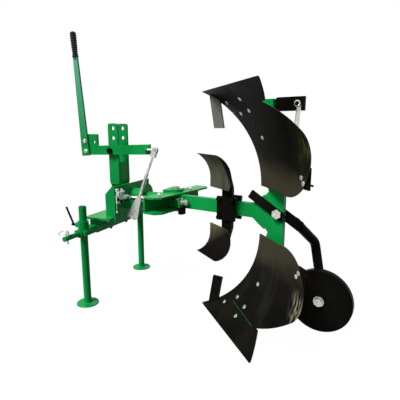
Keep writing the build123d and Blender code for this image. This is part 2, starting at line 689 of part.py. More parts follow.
def cross_channel():
    """The channel that is open to the rear and takes the beam's front end."""
    outer = block((CHANNEL_FRONT, CHANNEL_REAR), (-CHANNEL_HALF_LENGTH, CHANNEL_HALF_LENGTH),
                  (-CHANNEL_HALF_HEIGHT, CHANNEL_HALF_HEIGHT))
    inner = block((CHANNEL_FRONT + CHANNEL_WALL, CHANNEL_REAR + CUT),
                  (-CHANNEL_HALF_LENGTH - CUT, CHANNEL_HALF_LENGTH + CUT),
                  (-BEAM_HEIGHT / 2, BEAM_HEIGHT / 2))
    channel = outer - inner
    for y in (-CHANNEL_HALF_LENGTH, CHANNEL_HALF_LENGTH):
        inward = y - CHANNEL_CORNER if y > 0 else y + CHANNEL_CORNER
        corner = polygon([(CHANNEL_REAR, y), (CHANNEL_REAR - CHANNEL_CORNER, y), (CHANNEL_REAR, inward)])
        channel -= Pos(0, 0, -CHANNEL_HALF_HEIGHT) * extrude(corner, 2 * CHANNEL_HALF_HEIGHT)
    top = CHANNEL_HALF_HEIGHT + CUT
    return channel - rod((0, 0, -top), (0, 0, top), SWIVEL_BOLT + 2 * BOLT_CLEARANCE)


def swivel_bolt():
    """The upright bolt on which the channel is set over."""
    end = HEAD_HALF_HEIGHT + SWIVEL_HEAD_HEIGHT
    bolt = rod((0, 0, -end), (0, 0, end), SWIVEL_BOLT)
    for low in (-end, HEAD_HALF_HEIGHT):
        bolt += nut((0, 0, low), (0, 0, low + SWIVEL_HEAD_HEIGHT), SWIVEL_HEAD_WIDTH)
    return bolt


def beam():
    """The flat plough beam, seated against the channel's web."""
    return block((CHANNEL_FRONT + CHANNEL_WALL, BEAM_END), (BEAM_LEFT, BEAM_RIGHT),
                 (-BEAM_HEIGHT / 2, BEAM_HEIGHT / 2))


# Headstock
def cross_bar():
    """The stepped hitch bar with a turned pin at each end."""
    half_width = BAR_WIDTH / 2
    bar = block((-half_width, half_width), (-BAR_STEP_Y, BAR_STEP_Y),
                (BAR_HEIGHT - BAR_DEPTH / 2, BAR_HEIGHT + BAR_DEPTH / 2))
    flat_end = SHOULDER_Y - SHOULDER_LENGTH
    for side in (-1, 1):
        ys = sorted((side * BAR_STEP_Y, side * flat_end))
        bar += block((-half_width, half_width), ys,
                     (BAR_HEIGHT - BAR_END_DEPTH / 2, BAR_HEIGHT + BAR_END_DEPTH / 2))
        bar += rod((0, side * flat_end, BAR_HEIGHT), (0, side * SHOULDER_Y, BAR_HEIGHT), SHOULDER_DIAMETER)
        bar += rod((0, side * SHOULDER_Y, BAR_HEIGHT), (0, side * PIN_HALF_SPAN, BAR_HEIGHT), PIN_DIAMETER)
        hole_y = side * (PIN_HALF_SPAN - LINCH_HOLE_INSET)
        bar -= rod((0, hole_y, BAR_HEIGHT - PIN_DIAMETER), (0, hole_y, BAR_HEIGHT + PIN_DIAMETER),
                   LINCH_HOLE_DIAMETER)
        bar -= rod((0, side * LEG_Y, BAR_HEIGHT - BAR_DEPTH), (0, side * LEG_Y, BAR_HEIGHT + BAR_DEPTH),
                   LEG_DIAMETER + 2 * SLIDING)
    return bar


def leg_socket(side):
    """The short tube on the bar's end that guides a leg, with a boss for its screw."""
    y = side * LEG_Y
    boss_front = -SOCKET_DIAMETER / 2 - SCREW_BOSS_LENGTH
    socket = rod((0, y, SOCKET_BOTTOM), (0, y, SOCKET_BOTTOM + SOCKET_HEIGHT), SOCKET_DIAMETER)
    socket += rod((boss_front, y, SCREW_Z), (0, y, SCREW_Z), SCREW_BOSS_DIAMETER)
    socket -= rod((0, y, SOCKET_BOTTOM - CUT), (0, y, SOCKET_BOTTOM + SOCKET_HEIGHT + CUT),
                  LEG_DIAMETER + 2 * SLIDING)
    return socket - rod((boss_front - CUT, y, SCREW_Z), (0, y, SCREW_Z), SCREW_DIAMETER + BOLT_CLEARANCE)


def leg_screw(side):
    """The clamp screw with its bent handle."""
    y = side * LEG_Y
    tip = -LEG_DIAMETER / 2 - 2 * SLIDING
    screw = rod((tip, y, SCREW_Z), (-SCREW_REACH, y, SCREW_Z), SCREW_DIAMETER)
    handle_x = -SCREW_REACH + HANDLE_DIAMETER
    return screw + rod((handle_x, y, SCREW_Z), (handle_x - HANDLE_LEAN, y, SCREW_Z + HANDLE_RISE),
                       HANDLE_DIAMETER)


def leg_tube(side):
    """A parking leg's tube."""
    y = side * LEG_Y
    tube = rod((0, y, FOOT_THICKNESS), (0, y, LEG_TOP), LEG_DIAMETER)
    return tube - rod((0, y, FOOT_THICKNESS - CUT), (0, y, LEG_TOP + CUT), LEG_DIAMETER - 2 * LEG_WALL)


def foot(side):
    """The round plate under a leg."""
    plate = rod((0, side * LEG_Y, 0), (0, side * LEG_Y, FOOT_THICKNESS), FOOT_DIAMETER)
    return chamfer(plate.edges().group_by(Axis.Z)[-1], FOOT_THICKNESS / 3)


def base_plate():
    return block((BASE_FRONT, WEB_FRONT), (-BASE_HALF_WIDTH, BASE_HALF_WIDTH), (BASE_BOTTOM, BASE_TOP))


def base_spacers():
    """The two blocks between the cross bar and the base plate."""
    blocks = []
    for side in (-1, 1):
        ys = sorted((side * SPACER_INNER_Y, side * SPACER_OUTER_Y))
        blocks.append(block((-SPACER_HALF_DEPTH, SPACER_HALF_DEPTH), ys, (BAR_TOP, BASE_BOTTOM)))
    return Part() + blocks


def headstock_web():
    """The upright cross plate that carries the turnover bearing."""
    heights = (BASE_BOTTOM - WEB_DROP, HEADSTOCK_TOP)
    web = block((WEB_FRONT, WEB_REAR), (-WEB_HALF_WIDTH, WEB_HALF_WIDTH), heights)
    for y, bore in ((0, BEARING_DIAMETER), (-LOCK_RADIUS, PLUNGER_DIAMETER + BOLT_CLEARANCE)):
        web -= rod((WEB_FRONT - CUT, y, AXIS_HEIGHT), (WEB_REAR + CUT, y, AXIS_HEIGHT), bore)
    return web


def headstock_sides():
    """The two upright end plates, slanted at their front corner."""
    outline = polygon([
        (SIDE_FRONT, BASE_TOP), (WEB_FRONT, BASE_TOP), (WEB_FRONT, HEADSTOCK_TOP),
        (SIDE_FRONT + SIDE_SLANT, HEADSTOCK_TOP), (SIDE_FRONT, HEADSTOCK_TOP - SIDE_SLANT),
    ])
    inner = WEB_HALF_WIDTH - SIDE_THICKNESS
    sides = ((-WEB_HALF_WIDTH, -inner), (inner, WEB_HALF_WIDTH))
    return Part() + [side_plate(outline, left, right) for left, right in sides]


def mast_box():
    """The square tube at the mast's foot."""
    outer = block((MAST_FRONT, MAST_REAR), (-MAST_HALF_GAP, MAST_HALF_GAP), (BASE_TOP, MAST_BOX_TOP))
    inner = block((MAST_FRONT + MAST_WALL, MAST_REAR - MAST_WALL),
                  (-MAST_HALF_GAP + MAST_WALL, MAST_HALF_GAP - MAST_WALL),
                  (BASE_TOP - CUT, MAST_BOX_TOP - MAST_WALL))
    return outer - inner


def mast_plate(side):
    """One cheek of the top-link fork, with two holes."""
    middle_z = (MAST_PLATE_BOTTOM + MAST_TOP) / 2
    outline = Pos(TOP_LINK_X, middle_z) * RectangleRounded(MAST_DEPTH, MAST_TOP - MAST_PLATE_BOTTOM,
                                                           MAST_PLATE_CORNER)
    for z in (TOP_LINK_Z, TOP_LINK_Z - TOP_LINK_STEP):
        outline -= Pos(TOP_LINK_X, z) * Circle(TOP_LINK_HOLE / 2)
    return side_plate(outline, *sorted((side * MAST_HALF_GAP, side * MAST_OUTER_Y)))


def bearing_tube():
    tube = rod((BEARING_FRONT, 0, AXIS_HEIGHT), (BEARING_REAR, 0, AXIS_HEIGHT), BEARING_DIAMETER)
    return tube - rod((BEARING_FRONT - CUT, 0, AXIS_HEIGHT), (BEARING_REAR + CUT, 0, AXIS_HEIGHT),
                      SHAFT_DIAMETER + 2 * RUNNING)


def lock_plunger():
    """The lock pin, drawn back from the disc, in its bush on the web."""
    rear = LOCK_DISC_FRONT - MOVING
    ends = ((PLUNGER_FRONT, -LOCK_RADIUS, AXIS_HEIGHT), (rear, -LOCK_RADIUS, AXIS_HEIGHT))
    return rod(*ends, PLUNGER_DIAMETER)


def plunger_bush():
    rear = WEB_REAR + PLUNGER_BUSH_LENGTH
    ends = ((WEB_REAR, -LOCK_RADIUS, AXIS_HEIGHT), (rear, -LOCK_RADIUS, AXIS_HEIGHT))
    return rod(*ends, PLUNGER_BUSH_DIAMETER) - rod(*ends, PLUNGER_DIAMETER + BOLT_CLEARANCE)


def latch_bracket():
    """The ear on the web whose stud guides the slot in the back of the pull rod's yoke."""
    stud = along_rod(ROD_LENGTH - YOKE_SLOT)
    plate_left = ROD_RIGHT + 2 * SLIDING
    stud_end = ROD_RIGHT - YOKE_POCKET + SLOT_PLAY
    bracket = block((WEB_REAR, stud.X + LATCH_MARGIN), (plate_left, plate_left + LATCH_THICKNESS),
                    (stud.Z - LATCH_HEIGHT / 2, stud.Z + LATCH_HEIGHT / 2))
    return bracket + rod((stud.X, plate_left, stud.Z), (stud.X, stud_end, stud.Z), LATCH_STUD)


# Lever and pull rod
def lever_bolt():
    """The bolt on the mast on which the lever arm turns, with its spacer and hexagon head."""
    x = LEVER_PIVOT_X
    z = LEVER_PIVOT_Z
    head = LEVER_ARM_LEFT - SLIDING
    bolt = rod((x, -MAST_OUTER_Y, z), (x, head, z), LEVER_BOLT)
    bolt += rod((x, -MAST_OUTER_Y, z), (x, LEVER_ARM_RIGHT + SLIDING, z), LEVER_SPACER_DIAMETER)
    return bolt + nut((x, head, z), (x, head - LEVER_HEAD, z), LEVER_HEAD_WIDTH)


def lever_boss():
    """The boss on the arm's rear end that takes the pull rod's stud."""
    left = ROD_Y - ROD_STUD
    ends = ((LEVER_BOSS_X, LEVER_ARM_LEFT, ROD_EYE_Z), (LEVER_BOSS_X, left, ROD_EYE_Z))
    return rod(*ends, LEVER_BOSS_DIAMETER)


def lever_arm():
    """The flat arm with its upright tab in front and its boss behind."""
    half = LEVER_ARM_HEIGHT / 2
    outline = polygon([
        (LEVER_ARM_FRONT, LEVER_PIVOT_Z - half), (LEVER_ARM_REAR, ROD_EYE_Z - half),
        (LEVER_ARM_REAR, ROD_EYE_Z + half), (LEVER_TAB_REAR, LEVER_PIVOT_Z + half),
        (LEVER_TAB_REAR, LEVER_TAB_TOP), (LEVER_ARM_FRONT, LEVER_TAB_TOP),
    ])
    outline -= Pos(LEVER_PIVOT_X, LEVER_PIVOT_Z) * Circle(LEVER_BOLT / 2 + RUNNING)
    outline -= Pos(LEVER_HOLE_X, LEVER_PIVOT_Z + LEVER_HOLE_RISE) * Circle(LEVER_HOLE / 2)
    return side_plate(outline, LEVER_ARM_LEFT, LEVER_ARM_RIGHT) + lever_boss()


LEVER_RUN = Vector(LEVER_TOP_X - LEVER_FOOT_X, 0, LEVER_TOP_Z - LEVER_FOOT_Z)
LEVER_LEAN = degrees(atan2(-LEVER_RUN.X, LEVER_RUN.Z))
LEVER_BAR_LENGTH = LEVER_RUN.length - GRIP_LENGTH


def lever_bar():
    """The tapered flat handle bar, bolted on the arm's tab."""
    outline = polygon([
        (-LEVER_FOOT_WIDTH / 2, 0), (LEVER_FOOT_WIDTH / 2, 0), (LEVER_TOP_WIDTH / 2, LEVER_BAR_LENGTH),
        (-LEVER_TOP_WIDTH / 2, LEVER_BAR_LENGTH),
    ])
    placed = Pos(LEVER_FOOT_X, LEVER_FOOT_Z) * Rot(0, 0, LEVER_LEAN) * outline
    return side_plate(placed, LEVER_ARM_LEFT - LEVER_BAR_THICKNESS, LEVER_ARM_LEFT)


def lever_grip():
    """The round rubber grip on the bar's end."""
    direction = LEVER_RUN.normalized()
    y = LEVER_ARM_LEFT - LEVER_BAR_THICKNESS / 2
    start = Vector(LEVER_FOOT_X, y, LEVER_FOOT_Z) + direction * LEVER_BAR_LENGTH
    grip = Solid.make_cylinder(GRIP_DIAMETER / 2, GRIP_LENGTH, Plane(origin=start, z_dir=direction))
    return chamfer(grip.edges().sort_by(Axis.Z)[-1], GRIP_CHAMFER)


def rod_pin():
    """The stud in the arm's boss, with the cross pin on which the pull rod's clevis hangs."""
    half = CLEVIS_GAP / 2 + CLEVIS_CHEEK + CUT
    stud = rod((LEVER_BOSS_X, ROD_Y, ROD_EYE_Z), (ROD_EYE_X, ROD_Y, ROD_EYE_Z), ROD_STUD) - lever_boss()
    return stud + rod((ROD_EYE_X, ROD_Y - half, ROD_EYE_Z), (ROD_EYE_X, ROD_Y + half, ROD_EYE_Z), ROD_PIN)


ROD_RUN = Vector(YOKE_X - ROD_EYE_X, 0, YOKE_Z - ROD_EYE_Z)
ROD_LEAN = degrees(atan2(ROD_RUN.X, -ROD_RUN.Z))
ROD_LENGTH = ROD_RUN.length


def along_rod(distance):
    """A point on the pull rod's centre line, from its eye down."""
    return Vector(ROD_EYE_X, ROD_Y, ROD_EYE_Z) + ROD_RUN.normalized() * distance


def pull_rod():
    """The stepped rod with its clevis on the lever's cross pin."""
    turned = Pos(ROD_EYE_X, ROD_EYE_Z) * Rot(0, 0, ROD_LEAN)
    strap = Pos(0, -CLEVIS_LENGTH / 2) * Rectangle(CLEVIS_WIDTH, CLEVIS_LENGTH) + Circle(CLEVIS_WIDTH / 2)
    strap -= Circle(ROD_PIN / 2 + RUNNING)
    throat = Pos(0, CLEVIS_WIDTH / 2 - CLEVIS_THROAT) * Rectangle(2 * CLEVIS_WIDTH, 2 * CLEVIS_THROAT)
    half = CLEVIS_GAP / 2 + CLEVIS_CHEEK
    clevis = side_plate(turned * strap, ROD_Y - half, ROD_Y + half)
    clevis -= side_plate(turned * throat, ROD_Y - CLEVIS_GAP / 2, ROD_Y + CLEVIS_GAP / 2)
    clevis += rod(tuple(along_rod(CLEVIS_LENGTH)), tuple(along_rod(ROD_NECK_END)), ROD_NECK)
    ends = (tuple(along_rod(ROD_NECK_END)), tuple(along_rod(ROD_LENGTH - YOKE_LENGTH)))
    return clevis + rod(*ends, ROD_DIAMETER)


def rod_yoke():
    """The flat yoke that widens towards the pull rod's foot, with a blind slot in its back."""
    turned = Pos(YOKE_X, YOKE_Z) * Rot(0, 0, ROD_LEAN)
    outline = polygon([
        (-ROD_DIAMETER / 2, YOKE_LENGTH), (ROD_DIAMETER / 2, YOKE_LENGTH), (YOKE_WIDTH / 2, -YOKE_END),
        (-YOKE_WIDTH / 2, -YOKE_END),
    ])
    outline = fillet(outline.vertices().group_by(Axis.Y)[0], YOKE_CORNER)
    slot = Pos(0, YOKE_SLOT / 2) * Rot(0, 0, 90) * SlotCenterToCenter(YOKE_SLOT, LATCH_STUD + 2 * SLOT_PLAY)
    yoke = side_plate(turned * outline, ROD_RIGHT - YOKE_THICKNESS, ROD_RIGHT)
    return yoke - side_plate(turned * slot, ROD_RIGHT - YOKE_POCKET, ROD_RIGHT)


def beam_pieces():
    """The turnover unit's pieces behind the swivel bolt, in the beam frame."""
    pieces = {
        "cross_channel": cross_channel(),
        "swivel_bolt": swivel_bolt(),
        "beam": beam(),
        "frog_plate": frog_plate(),
        "clamp_plate_left": clamp_plate(SHANK_LEFT - CLAMP_THICKNESS),
        "clamp_plate_right": clamp_plate(BEAM_RIGHT),
        "clamp_bolts": clamp_bolts(),
        "stop_bar": arm_strip(STOP_FRONT, STOP_REAR, STOP_WIDTH, STOP_BAR_Y),
        "arm_bar": arm_strip(ARM_WIDTH / 2, ARM_REAR, ARM_WIDTH, ARM_BAR_Y),
        "arm_pin": arm_pin(),
        "wheel_stem": wheel_stem(),
        "axle_cap": axle_cap(),
        "gauge_wheel": gauge_wheel(),
    }
    bodies = {
        "share": share(), "moldboard": moldboard(), "landside": landside(), "board_stay": board_stay(),
        "fin_coulter": fin_coulter(), "skimmer": skimmer(), "skimmer_shank": skimmer_shank(),
    }
    for name, piece in bodies.items():
        pieces[name + "_lower"] = piece
        pieces[name + "_upper"] = mirrored(piece)
    return {name: BEAM_FRAME * piece for name, piece in pieces.items()}


def headstock_pieces():
    """The pieces in front of the swivel bolt, in the hitch frame."""
    pieces = {
        "cross_bar": cross_bar(),
        "base_plate": base_plate(),
        "base_spacers": base_spacers(),
        "headstock_web": headstock_web(),
        "headstock_sides": headstock_sides(),
        "mast_box": mast_box(),
        "mast_plate_left": mast_plate(-1),
        "mast_plate_right": mast_plate(1),
        "bearing_tube": bearing_tube(),
        "lock_plunger": lock_plunger(),
        "plunger_bush": plunger_bush(),
        "latch_bracket": latch_bracket(),
        "lever_bolt": lever_bolt(),
        "lever_arm": lever_arm(),
        "lever_bar": lever_bar(),
        "lever_grip": lever_grip(),
        "rod_pin": rod_pin(),
        "pull_rod": pull_rod(),
        "rod_yoke": rod_yoke(),
        "turn_shaft": turn_shaft(),
        "shaft_head": shaft_head(),
    }
    for name, side in (("left", -1), ("right", 1)):
        pieces["leg_socket_" + name] = leg_socket(side)
        pieces["leg_screw_" + name] = leg_screw(side)
        pieces["leg_tube_" + name] = leg_tube(side)
        pieces["foot_" + name] = foot(side)
    return pieces


PIECES = {**headstock_pieces(), **beam_pieces()}
BOX = Compound(children=[Compound(piece.wrapped) for piece in PIECES.values()]).bounding_box()
ORIGIN = Pos(-(BOX.min.X + BOX.max.X) / 2, -(BOX.min.Y + BOX.max.Y) / 2, -BOX.min.Z)

os.makedirs("parts", exist_ok=True)
for name, piece in PIECES.items():
    export_step(ORIGIN * piece, f"parts/{name}.step")
print("wrote", len(PIECES), "nodes, size", BOX.size)
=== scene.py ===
# %% [markdown]
# # A reversible plough, dressed for its picture
#
# The plough's solids come from the drawing office as a fixed frame: every plate, pin and twisted
# moldboard is already at its place, in metres. This lesson adds what a drawing leaves out: paint,
# zinc, rubber, bolts, welds and linch pins. Nothing here moves or resizes a solid.

# %% Load the frame
import json
import math

import bmesh
import bpy
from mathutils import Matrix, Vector
from mathutils.bvhtree import BVHTree


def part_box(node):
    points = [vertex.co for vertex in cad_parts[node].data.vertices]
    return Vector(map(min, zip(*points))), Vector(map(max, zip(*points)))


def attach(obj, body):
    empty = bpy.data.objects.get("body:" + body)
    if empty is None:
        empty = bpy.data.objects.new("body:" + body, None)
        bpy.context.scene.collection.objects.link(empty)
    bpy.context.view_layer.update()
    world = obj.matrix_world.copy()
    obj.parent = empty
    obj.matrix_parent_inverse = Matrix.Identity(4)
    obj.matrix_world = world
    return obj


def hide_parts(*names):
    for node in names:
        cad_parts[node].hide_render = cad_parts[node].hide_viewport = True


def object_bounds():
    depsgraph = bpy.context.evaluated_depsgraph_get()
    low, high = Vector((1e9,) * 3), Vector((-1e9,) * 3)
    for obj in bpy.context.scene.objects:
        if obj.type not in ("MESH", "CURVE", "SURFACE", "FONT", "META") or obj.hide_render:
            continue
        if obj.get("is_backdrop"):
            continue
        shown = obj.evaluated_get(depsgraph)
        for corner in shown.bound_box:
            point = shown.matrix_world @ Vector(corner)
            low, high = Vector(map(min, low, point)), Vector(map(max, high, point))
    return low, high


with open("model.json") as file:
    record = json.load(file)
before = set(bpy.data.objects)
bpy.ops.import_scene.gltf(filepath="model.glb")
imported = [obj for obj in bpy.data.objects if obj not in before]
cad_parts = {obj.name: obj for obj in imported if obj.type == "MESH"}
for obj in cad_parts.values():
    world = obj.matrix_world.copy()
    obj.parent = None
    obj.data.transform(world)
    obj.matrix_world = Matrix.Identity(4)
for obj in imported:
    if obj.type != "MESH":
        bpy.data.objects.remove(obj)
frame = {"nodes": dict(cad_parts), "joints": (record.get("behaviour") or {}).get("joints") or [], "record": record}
cad_low, cad_high = (list(map(float, corner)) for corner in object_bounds())
MM = 0.001
print("nodes", len(frame["nodes"]), "box", cad_low, cad_high)

# %% [markdown]
# ## Landmarks
#
# A maker measures from the hitch bar and, behind the swivel bolt, along the beam. World coordinates would
# also do, but nobody could check them with a rule. So two small functions turn such measures in
# millimetres into points of the frame, and every added piece is placed as it would be marked out.

# %% Points measured from the hitch and along the beam
def middle(node):
    low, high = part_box(node)
    return (low + high) / 2


hitch = middle("cross_bar")
hitch.z = cad_low[2]
swivel = middle("swivel_bolt")
arm_joint = next(joint for joint in frame["joints"] if joint["name"] == "wheel_arm_swing")
beam_right = -Vector(arm_joint["axis"]).normalized()
beam_rear = Vector((beam_right.y, -beam_right.x, 0))
REAR, RIGHT, UP = Vector((1, 0, 0)), Vector((0, 1, 0)), Vector((0, 0, 1))


def at_hitch(x, y, z):
    """A point behind the hitch bar, to its right and above the floor, in millimetres."""
    return hitch + Vector((x, y, z)) * MM


def at_beam(x, y, z):
    """A point behind the swivel bolt, to the right and above the turnover axis, in millimetres."""
    return swivel + (beam_rear * x + beam_right * y + UP * z) * MM


def corners(node):
    """A solid's lowest and highest corner from the hitch bar, in millimetres."""
    return [(corner - hitch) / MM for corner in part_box(node)]


print("hitch", hitch, "swivel", swivel, "beam", beam_rear)

# %% [markdown]
# ## Node trees and colours
#
# Finishes and repeated pieces are node trees. They could be drawn by hand in the editor, but built in code
# they can be read and run again. One function adds a node with its settings and links, one turns a paint
# chart's hex value into the linear colour that the renderer works in, and one goes from one colour to
# another along any pattern, which is how every coat below is laid.

# %% Helpers for colours and nodes
def linear(code):
    """A paint chart's sRGB hex value as a linear colour."""
    channels = [int(code[i:i + 2], 16) / 255 for i in (1, 3, 5)]
    return [c / 12.92 if c <= 0.04045 else ((c + 0.055) / 1.055) ** 2.4 for c in channels] + [1.0]


def add(tree, kind, inputs=None, **settings):
    """Add one node with its settings, its constant inputs and the links into it."""
    node = tree.nodes.new(kind)
    for name, value in settings.items():
        setattr(node, name, value)
    for name, value in (inputs or {}).items():
        several = isinstance(value, list) and isinstance(value[0], bpy.types.NodeSocket)
        for source in value if several else [value]:
            if isinstance(source, bpy.types.NodeSocket):
                tree.links.new(source, node.inputs[name])
            else:
                node.inputs[name].default_value = source
    return node


def grain(size):
    """The scale of a texture whose features are about this many millimetres wide."""
    return 1 / (size * MM)


def blank_material(name):
    material = bpy.data.materials.new(name)
    material.use_nodes = True
    tree = material.node_tree
    return material, tree, tree.nodes["Principled BSDF"]


def shade(tree, pattern, first, second, start=0.35, end=0.65, most=1.0, ease="LINEAR"):
    """Go from one colour to another over part of a pattern's range; a colour is a hex value or a link."""
    amount = add(tree, "ShaderNodeMapRange", {"Value": pattern, "From Min": start, "From Max": end,
                                              "To Max": most}, interpolation_type=ease)
    pair = [linear(colour) if isinstance(colour, str) else colour for colour in (first, second)]
    return add(tree, "ShaderNodeMix", {0: amount.outputs[0], 6: pair[0], 7: pair[1]},
               data_type="RGBA").outputs[2]


def measure(tree, place, direction):
    """How far a point lies from the swivel bolt in one direction, in millimetres."""
    away = add(tree, "ShaderNodeVectorMath", {0: place, 1: tuple(swivel)}, operation="SUBTRACT")
    return add(tree, "ShaderNodeVectorMath", {0: away.outputs[0], 1: tuple(direction / MM)},
               operation="DOT_PRODUCT").outputs["Value"]


print("green chip", [round(c, 3) for c in linear("#0c9e4b")])

# %% [markdown]
# ## Green enamel
#
# The headstock, beam and legs are welded from plate and sprayed with a gloss enamel. The eye sees a
# strong green, a faint orange peel in the gloss and edges that catch the light because paint rounds them.
# The peel is drawn at 3 mm, coarser than the real one, so that it shows. Rounding every solid would cost
# many faces, so a Bevel node rounds the plates' edges in the shading by a millimetre and a half. The hand
# lever's bar has a painted reflection: its green turns paler with height, towards the grip.

# %% Green enamel
EDGE_ROUND = 1.6
ORANGE_PEEL = 3.0
SPRAY_PATCH = 140.0
SHEEN_FROM = 720.0
SHEEN_FULL = 1120.0
GREEN_ROUGH = 0.28
GREEN_GLOSS = 0.06


def green_enamel(name, sheen_colour):
    material, tree, shader = blank_material(name)
    place = add(tree, "ShaderNodeTexCoord").outputs["Object"]
    patch = add(tree, "ShaderNodeTexNoise", {"Vector": place, "Scale": grain(SPRAY_PATCH), "Detail": 4.0})
    peel = add(tree, "ShaderNodeTexNoise", {"Vector": place, "Scale": grain(ORANGE_PEEL), "Detail": 1.0})
    rounded = add(tree, "ShaderNodeBevel", {"Radius": EDGE_ROUND * MM}, samples=4)
    bump = add(tree, "ShaderNodeBump", {"Height": peel.outputs["Fac"], "Strength": 0.05,
                                        "Distance": 0.3 * MM, "Normal": rounded.outputs["Normal"]})
    height = add(tree, "ShaderNodeSeparateXYZ", {0: place}).outputs["Z"]
    fresh = shade(tree, patch.outputs["Fac"], "#068a3e", "#0c9e4b")
    # Painted reflection: the coat turns paler with height, towards the sheen colour.
    coat = shade(tree, height, fresh, sheen_colour, SHEEN_FROM * MM, SHEEN_FULL * MM)
    tree.links.new(coat, shader.inputs["Base Color"])
    tree.links.new(bump.outputs["Normal"], shader.inputs["Normal"])
    shader.inputs["Roughness"].default_value = GREEN_ROUGH
    shader.inputs["Specular IOR Level"].default_value = GREEN_GLOSS
    return material


# The fade with height is painted reflection: on the lever's bar it reaches a pale green, on the other greens only
# their own lighter tone.
GREEN = green_enamel("green_enamel", "#0c9e4b")
LEVER_SHEEN_GREEN = green_enamel("lever_sheen_green_enamel", "#5cb48a")
print("made", GREEN.name, LEVER_SHEEN_GREEN.name)

# %% [markdown]
# ## Black enamel
#
# Shares, landsides and the wheel carry a thin black enamel over forged and pressed steel. It is deep and
# smooth, with a warm cast where the coat is thin. A flat black would hide the form, so patches change its
# tone and roughness a little, its gloss is kept low and its grain fine.

# %% Black enamel
SCALE_PATCH = 120.0
COAT_GRAIN = 4.0
ENAMEL_ROUGH = 0.3
ENAMEL_GLOSS = 0.015
FIN_ROUGH = 0.45
FIN_GLOSS = 0.1
DEEP_BLACK = ("#0a0a08", "#15140f")
FIN_GREY = ("#6a6b65", "#858680")


def black_coat(name, roughness, specular):
    """A coat with its patches, its fine grain and its rounded edges, still without a colour."""
    material, tree, shader = blank_material(name)
    place = add(tree, "ShaderNodeTexCoord").outputs["Object"]
    patch = add(tree, "ShaderNodeTexNoise", {"Vector": place, "Scale": grain(SCALE_PATCH), "Detail": 3.0})
    fine = add(tree, "ShaderNodeTexNoise", {"Vector": place, "Scale": grain(COAT_GRAIN), "Detail": 1.0})
    rounded = add(tree, "ShaderNodeBevel", {"Radius": EDGE_ROUND * MM}, samples=4)
    bump = add(tree, "ShaderNodeBump", {"Height": fine.outputs["Fac"], "Strength": 0.04,
                                        "Distance": 0.3 * MM, "Normal": rounded.outputs["Normal"]})
    rough = add(tree, "ShaderNodeMapRange", {
        "Value": patch.outputs["Fac"], "From Min": 0.3, "From Max": 0.7,
        "To Min": roughness - 0.06, "To Max": roughness + 0.08})
    tree.links.new(rough.outputs["Result"], shader.inputs["Roughness"])
    tree.links.new(bump.outputs["Normal"], shader.inputs["Normal"])
    shader.inputs["Specular IOR Level"].default_value = specular
    return material, tree, shader, place, patch.outputs["Fac"]


def black_enamel(name, dark, light, roughness, specular):
    material, tree, shader, _, patch = black_coat(name, roughness, specular)
    tree.links.new(shade(tree, patch, dark, light), shader.inputs["Base Color"])
    return material


BLACK = black_enamel("black_enamel", *DEEP_BLACK, ENAMEL_ROUGH, ENAMEL_GLOSS)
# The upper fin's grey coat.
GREY = black_enamel("grey_enamel", *FIN_GREY, FIN_ROUGH, FIN_GLOSS)
print("made", BLACK.name, GREY.name)

# %% [markdown]
# ## Share and skimmer enamel
#
# A share's point is ground bright and its coat is black behind it. The two skimmers are pressed sheets
# with darker upright marks in their thin coat, and a painted reflection runs across each: the upper one is
# pale olive at the cutting edge and darker at the rear, the lower one olive next to the beam and black at its
# point. The outer rear edge is black. A painted mask would need an image, so each coat is measured along its
# own solid instead.

# %% Share and skimmer enamel
# SHEEN_REACH, RIM_FROM and RIM_FULL are shares of the skimmer's width, the other lengths are millimetres.
POINT_LENGTH = 22.0
SKIMMER_ROUGH = 0.42
MARK_WIDTH = 14.0
MARK_LENGTH = 160.0
SHEEN_REACH = 0.5
RIM_FROM = 0.2
RIM_FULL = 0.14
RIM_SLANT = 1.9
POINT_SLANT = 1.6


def reach(node, direction=beam_rear):
    """How far a solid's two ends lie from the swivel bolt in one direction, in millimetres."""
    along = [(vertex.co - swivel).dot(direction) / MM for vertex in frame["nodes"][node].data.vertices]
    return min(along), max(along)


def marks(tree, place, width, length):
    """Upright marks of a width and a length in millimetres, as a pattern from 0 to 1."""
    stretch = add(tree, "ShaderNodeMapping", {"Vector": place, "Scale": (
        grain(width), grain(width), grain(length))})
    return add(tree, "ShaderNodeTexNoise", {"Vector": stretch.outputs[0], "Scale": 1.0,
                                            "Detail": 2.0}).outputs["Fac"]


def share_enamel():
    material, tree, shader, place, patch = black_coat("share_enamel", ENAMEL_ROUGH, ENAMEL_GLOSS)
    tip = reach("share_upper")[0]
    black = shade(tree, patch, *DEEP_BLACK)
    coat = shade(tree, measure(tree, place, beam_rear), black, "#85847e", tip + POINT_LENGTH,
                 tip + POINT_LENGTH / 2, ease="SMOOTHSTEP")
    tree.links.new(coat, shader.inputs["Base Color"])
    return material


def skimmer_enamel(node, reflection_way, outward, near_sheen, far_sheen):
    """A coat with a painted reflection that changes colour in one direction, and a black rim on its outer side."""
    material, tree, shader, place, _ = black_coat(node + "_enamel", SKIMMER_ROUGH, ENAMEL_GLOSS)
    near, far = reach(node, reflection_way)
    inner, outer = reach(node, outward)
    # Painted reflection: one colour at the near end turns into the other over part of the skimmer.
    coat = shade(tree, measure(tree, place, reflection_way), near_sheen, far_sheen,
                 near, near + SHEEN_REACH * (far - near))
    streaked = shade(tree, marks(tree, place, MARK_WIDTH, MARK_LENGTH), coat, "#14140f", 0.42, 0.7, most=0.5)
    rimmed = shade(tree, measure(tree, place, outward), streaked, "#0e0e0b",
                   outer - RIM_FROM * (outer - inner), outer - RIM_FULL * (outer - inner))
    tree.links.new(rimmed, shader.inputs["Base Color"])
    return material


SHARE = share_enamel()
# Painted reflections: pale olive to darker olive on the upper skimmer, olive to black on the lower.
SKIMMER_UPPER = skimmer_enamel("skimmer_upper", beam_rear, beam_rear * RIM_SLANT + UP, "#6a6b5c", "#545546")
SKIMMER_LOWER = skimmer_enamel("skimmer_lower", beam_rear - UP * POINT_SLANT, beam_rear * RIM_SLANT - UP,
                               "#6e6a4e", "#0e0d09")
print("made", SHARE.name, SKIMMER_UPPER.name, SKIMMER_LOWER.name)
